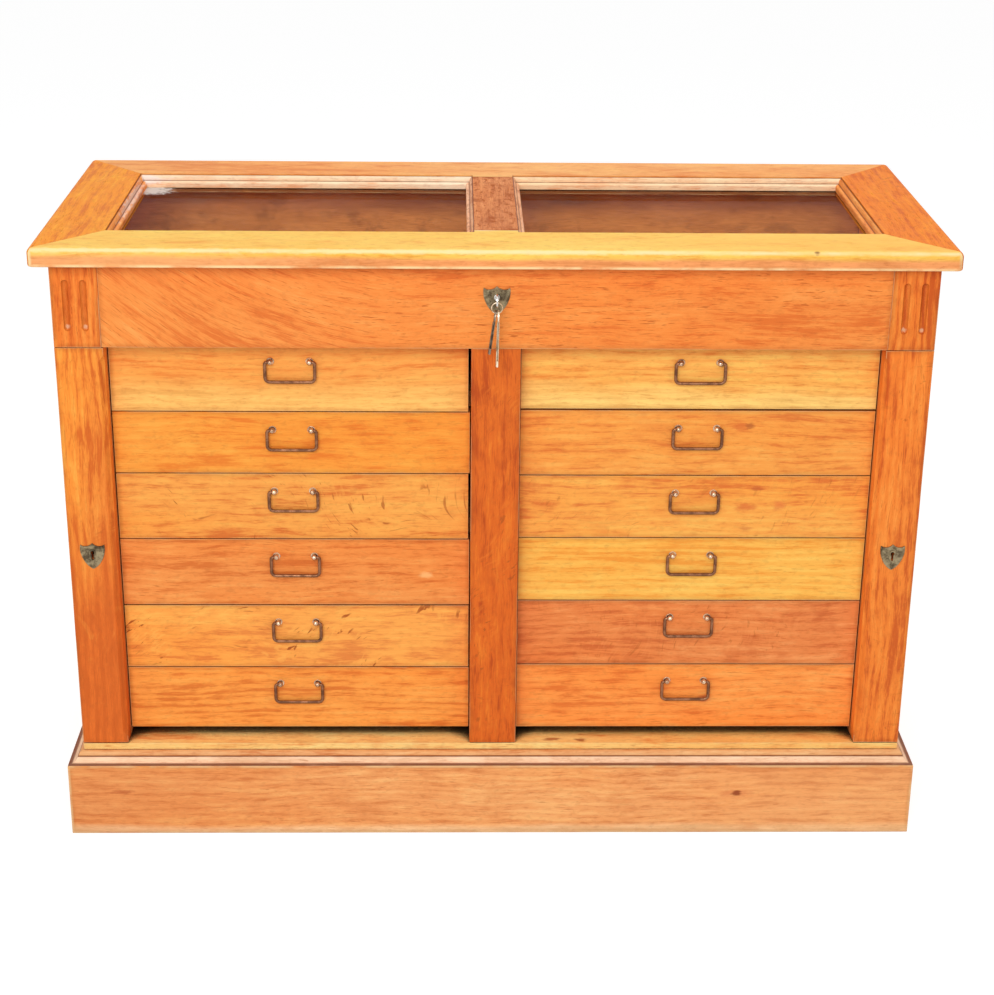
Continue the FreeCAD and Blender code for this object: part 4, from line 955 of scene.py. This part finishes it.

# ---- the glazing beads
# Eight mitred beads with a stepped moulding hold the two panes. They are pale, with painted shade
# and dirt in their quirks, and white paint has been dragged over the left corner.
beads_low, beads_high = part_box("lid_beads")
muntin_half = 0.033
paint_marks = (
    ((-0.572, beads_high.y - 0.006, beads_high.z - 0.006), (0.052, 0.016, 0.01), (246, 232, 222), 0.85),
    ((-0.578, beads_high.y - 0.14, beads_high.z - 0.008), (0.012, 0.17, 0.012), (244, 226, 214), 0.6))
bead_look = dict(rings=0.2, quirks=((0.0107, 0.0008), (0.019, 0.0006)))
bead_crevice_shade = (0.004, 0.6, 0.1, 0.6, (134, 56, 20))
bead_oak = waxed_oak(
    "bead oak", (255, 234, 198), (255, 222, 184), (246, 182, 136), pores=0.3, soil=0.1, rub=0.2,
    marks=paint_marks, crevice_shade=(0.004, 0.6, 0.1, 0.5, (134, 56, 20)), **bead_look)
side_bead_oak = waxed_oak(
    "side bead oak", (253, 182, 104), (246, 156, 80), (214, 114, 54), pores=0.35, mottle=0.4, soil=0.2,
    rub=0.2, marks=paint_marks, crevice_shade=bead_crevice_shade, gloss=0.06, **bead_look)
inner_bead_oak = waxed_oak(
    "inner bead oak", (252, 206, 164), (244, 182, 138), (196, 116, 74), pores=0.35, mottle=0.8, stain=0.5,
    soil=0.4, crevice_shade=bead_crevice_shade, **bead_look)


def bead_owner(spot):
    nearest = min(
        (spot.y - beads_low.y, "front"), (beads_high.y - spot.y, "back"),
        (abs(spot.x) - muntin_half, "inner"), (beads_high.x - abs(spot.x), "outer"))
    return ("left_" if spot.x < 0 else "right_") + nearest[1]


for index, (side, shape) in enumerate(solids_of("lid_beads", bead_owner).items()):
    lengthwise = side.endswith(("front", "back"))
    upright_oak = inner_bead_oak if side.endswith("inner") else side_bead_oak
    oak_board(
        f"{side}_bead", shape, bead_oak if lengthwise else upright_oak,
        "x" if lengthwise else "y", body="lid", log=270 + 3.9 * index, arris=0.00025, node="lid_beads")

# ---- the panes
# Two panes of old sheet glass lie on the rails' lips under the beads, dusty and a little
# smeared where the paint ran. The pale patch at the left pane's back corner is a painted
# reflection as well as the smear.
glass_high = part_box("lid_glass")[1]
# A pale patch at the left pane's back corner: paint smear and painted reflection.
smear_and_reflection_centre = (-0.560, glass_high.y - 0.030, glass_high.z)
smear_and_reflection_reach = (0.060, 0.050, 0.02)
glass, put = new_finish("old sheet glass")
place = put("TexCoord", {}).outputs["Object"]
film = ease(put, clouds(put, place, 9.0, 6.0, 0.7), 0.45, 0.8, 0.0, 0.025)
specks = ease(put, clouds(put, place, 420.0, 2.0), 0.72, 0.8, 0.0, 0.5)
ragged = sums(put, "MULTIPLY", clouds(put, place, 70.0, 5.0, 0.7), 1.6)
away = sums(put, "ADD", away_from(put, place, smear_and_reflection_centre, smear_and_reflection_reach), ragged)
dust_and_reflection = sums(put, "MAXIMUM", sums(put, "ADD", film, specks), ease(put, away, 1.5, 1.1, 0.0, 0.75))
outside = sums(put, "SUBTRACT", 1.0, put("NewGeometry", {}).outputs["Backfacing"])
clear = put("BsdfTransparent", {"Color": (0.93, 0.95, 0.93, 1)}).outputs[0]
mirror = put("BsdfGlossy", {"Color": (0.9, 0.92, 0.92, 1), "Roughness": 0.06}).outputs[0]
facing = sums(put, "MULTIPLY", put("Fresnel", {"IOR": 1.04}).outputs[0], outside)
sheet = put("MixShader", {0: facing, 1: clear, 2: mirror}).outputs[0]
powder_and_reflection = put("BsdfDiffuse", {"Color": tint(232, 222, 212)}).outputs[0]
cover = sums(put, "MULTIPLY", dust_and_reflection, outside)
dusty = put("MixShader", {0: cover, 1: sheet, 2: powder_and_reflection}).outputs[0]
fill(glass.node_tree.nodes["Material Output"], {"Surface": dusty})
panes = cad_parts["lid_glass"]
panes.data.materials.clear()
panes.data.materials.append(glass)

# ---- the lid's metalwork
# Brass hinge leaves under the back rail, the link plate that the chest lock catches, and the
# lock's bolt.
metal_piece(
    "lid_hinge_leaves_and_link", whole("lid_fittings"), "lid", hinge_brass, arris=0.0, node="lid_fittings")
metal_piece("chest_lock_bolt", whole("lid_bolt"), "lid_bolt", hinge_brass, node="lid_bolt")

# ---- the keys
# A nickel-plated key stands in the apron's lock, with a wire ring through its bow and two spare
# keys on the ring. The plating has worn through to brass in places.
key_nickel = old_metal("key nickel", (232, 218, 192), (200, 172, 132), (96, 70, 46), 0.30)
key_steel = old_metal("blackened key steel", (150, 134, 116), (76, 62, 52), (30, 24, 20), 0.38)
key_bright = old_metal("bright key nickel", (236, 236, 232), (168, 160, 150), (66, 56, 50), 0.26)
metal_piece("key_in_the_lock", whole("lid_key"), "lid_key", key_bright, node="lid_key")
ring_low, ring_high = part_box("key_ring")
ring_radius = 0.008
ring_wire_radius = 0.0009
ring_middle = Vector((0.0, (ring_low.y + ring_high.y) / 2, ring_high.z - ring_radius - ring_wire_radius))
wire_skin_radius = 1.1 * ring_wire_radius
keys_part_lean = 0.078
keys_part_x = 0.0006


def spare_key_owner(spot):
    """The ring is a round wire, and the keys hang on each side of a leaning line."""
    away = spot - ring_middle
    from_wire = math.hypot(math.hypot(away.x, away.z) - ring_radius, away.y)
    if from_wire < wire_skin_radius:
        return "ring"
    return "short" if away.x < keys_part_x + keys_part_lean * away.z else "long"


for part, shape in solids_of("key_ring", spare_key_owner).items():
    metal_piece(
        f"spare_keys_{part}", shape, "key_ring", key_steel if part == "short" else key_nickel, arris=0.0,
        node="key_ring")

# ---- the room
# A plain pale paper lies under the cabinet, with a large soft lamp above its front, a weaker one
# over its top and an even pale surround.
floor_size = 28.0
bpy.ops.mesh.primitive_plane_add(size=floor_size)
floor = bpy.context.object
floor.name = "studio_floor"


def watched_ray(put):
    """1 where the camera sees a thing itself, in a mirror or through glass, and 0 for its light."""
    seen = put("LightPath", {}).outputs
    by_glass = sums(put, "MAXIMUM", seen["Is Glossy Ray"], seen["Is Transmission Ray"])
    return sums(put, "MAXIMUM", seen["Is Camera Ray"], by_glass)


paper, put = new_finish("studio paper")
matt = put("BsdfDiffuse", {"Color": (0.80, 0.80, 0.80, 1)}).outputs[0]
shadowed = put("BsdfDiffuse", {"Color": (0.45, 0.45, 0.45, 1)}).outputs[0]
glow = put("Emission", {"Color": (1, 1, 1, 1), "Strength": 0.72}).outputs[0]
lifted = put("AddShader", {0: shadowed, 1: glow}).outputs[0]
chosen = put("MixShader", {0: watched_ray(put), 1: matt, 2: lifted}).outputs[0]
fill(paper.node_tree.nodes["Material Output"], {"Surface": chosen})
floor.data.materials.append(paper)

world = bpy.data.worlds.new("pale surround")
bpy.context.scene.world = world
world.use_nodes = True
put = node_putter(world.node_tree)
even = world.node_tree.nodes["Background"]
fill(even, {"Color": (1, 1, 1, 1), "Strength": 0.575})
bright = put("Background", {"Color": (1, 1, 1, 1), "Strength": 1.0}).outputs[0]
chosen = put("MixShader", {0: watched_ray(put), 1: even.outputs[0], 2: bright}).outputs[0]
fill(world.node_tree.nodes["World Output"], {"Surface": chosen})

for name, place, width, height, watts in (
        ("front_lamp", (-0.7, -3.7, 2.9), 2.6, 1.8, 91), ("top_lamp", (0.6, 0.6, 3.6), 3.0, 2.4, 30)):
    light = bpy.data.lights.new(name, "AREA")
    light.shape = "RECTANGLE"
    light.size, light.size_y, light.energy = width, height, watts
    lamp = bpy.data.objects.new(name, light)
    lamp.location = place
    towards = (cad_low + cad_high) / 2 - lamp.location
    lamp.rotation_euler = towards.to_track_quat("-Z", "Y").to_euler()
    bpy.context.scene.collection.objects.link(lamp)

# The camera looks down at the cabinet's front from a standing eye.
view = bpy.data.cameras.new("camera")
camera = bpy.data.objects.new("camera", view)
bpy.context.scene.collection.objects.link(camera)
bpy.context.scene.camera = camera
view.sensor_fit = "HORIZONTAL"
view.sensor_width = 36.0
view.lens = 72.71783
view.shift_x, view.shift_y = -0.0025825, -0.0348310
view.clip_end = 60.0
camera.location = (-0.060937, -3.099992, 1.757685)
pitch_down, yaw, roll = 0.3758, -0.02381, 0.01117
turned = Matrix.Rotation(yaw, 3, "Z") @ Matrix.Rotation(math.pi / 2 - pitch_down, 3, "X")
camera.rotation_euler = (turned @ Matrix.Rotation(roll, 3, "Z")).to_euler()

bpy.context.scene.view_settings.view_transform = "Standard"
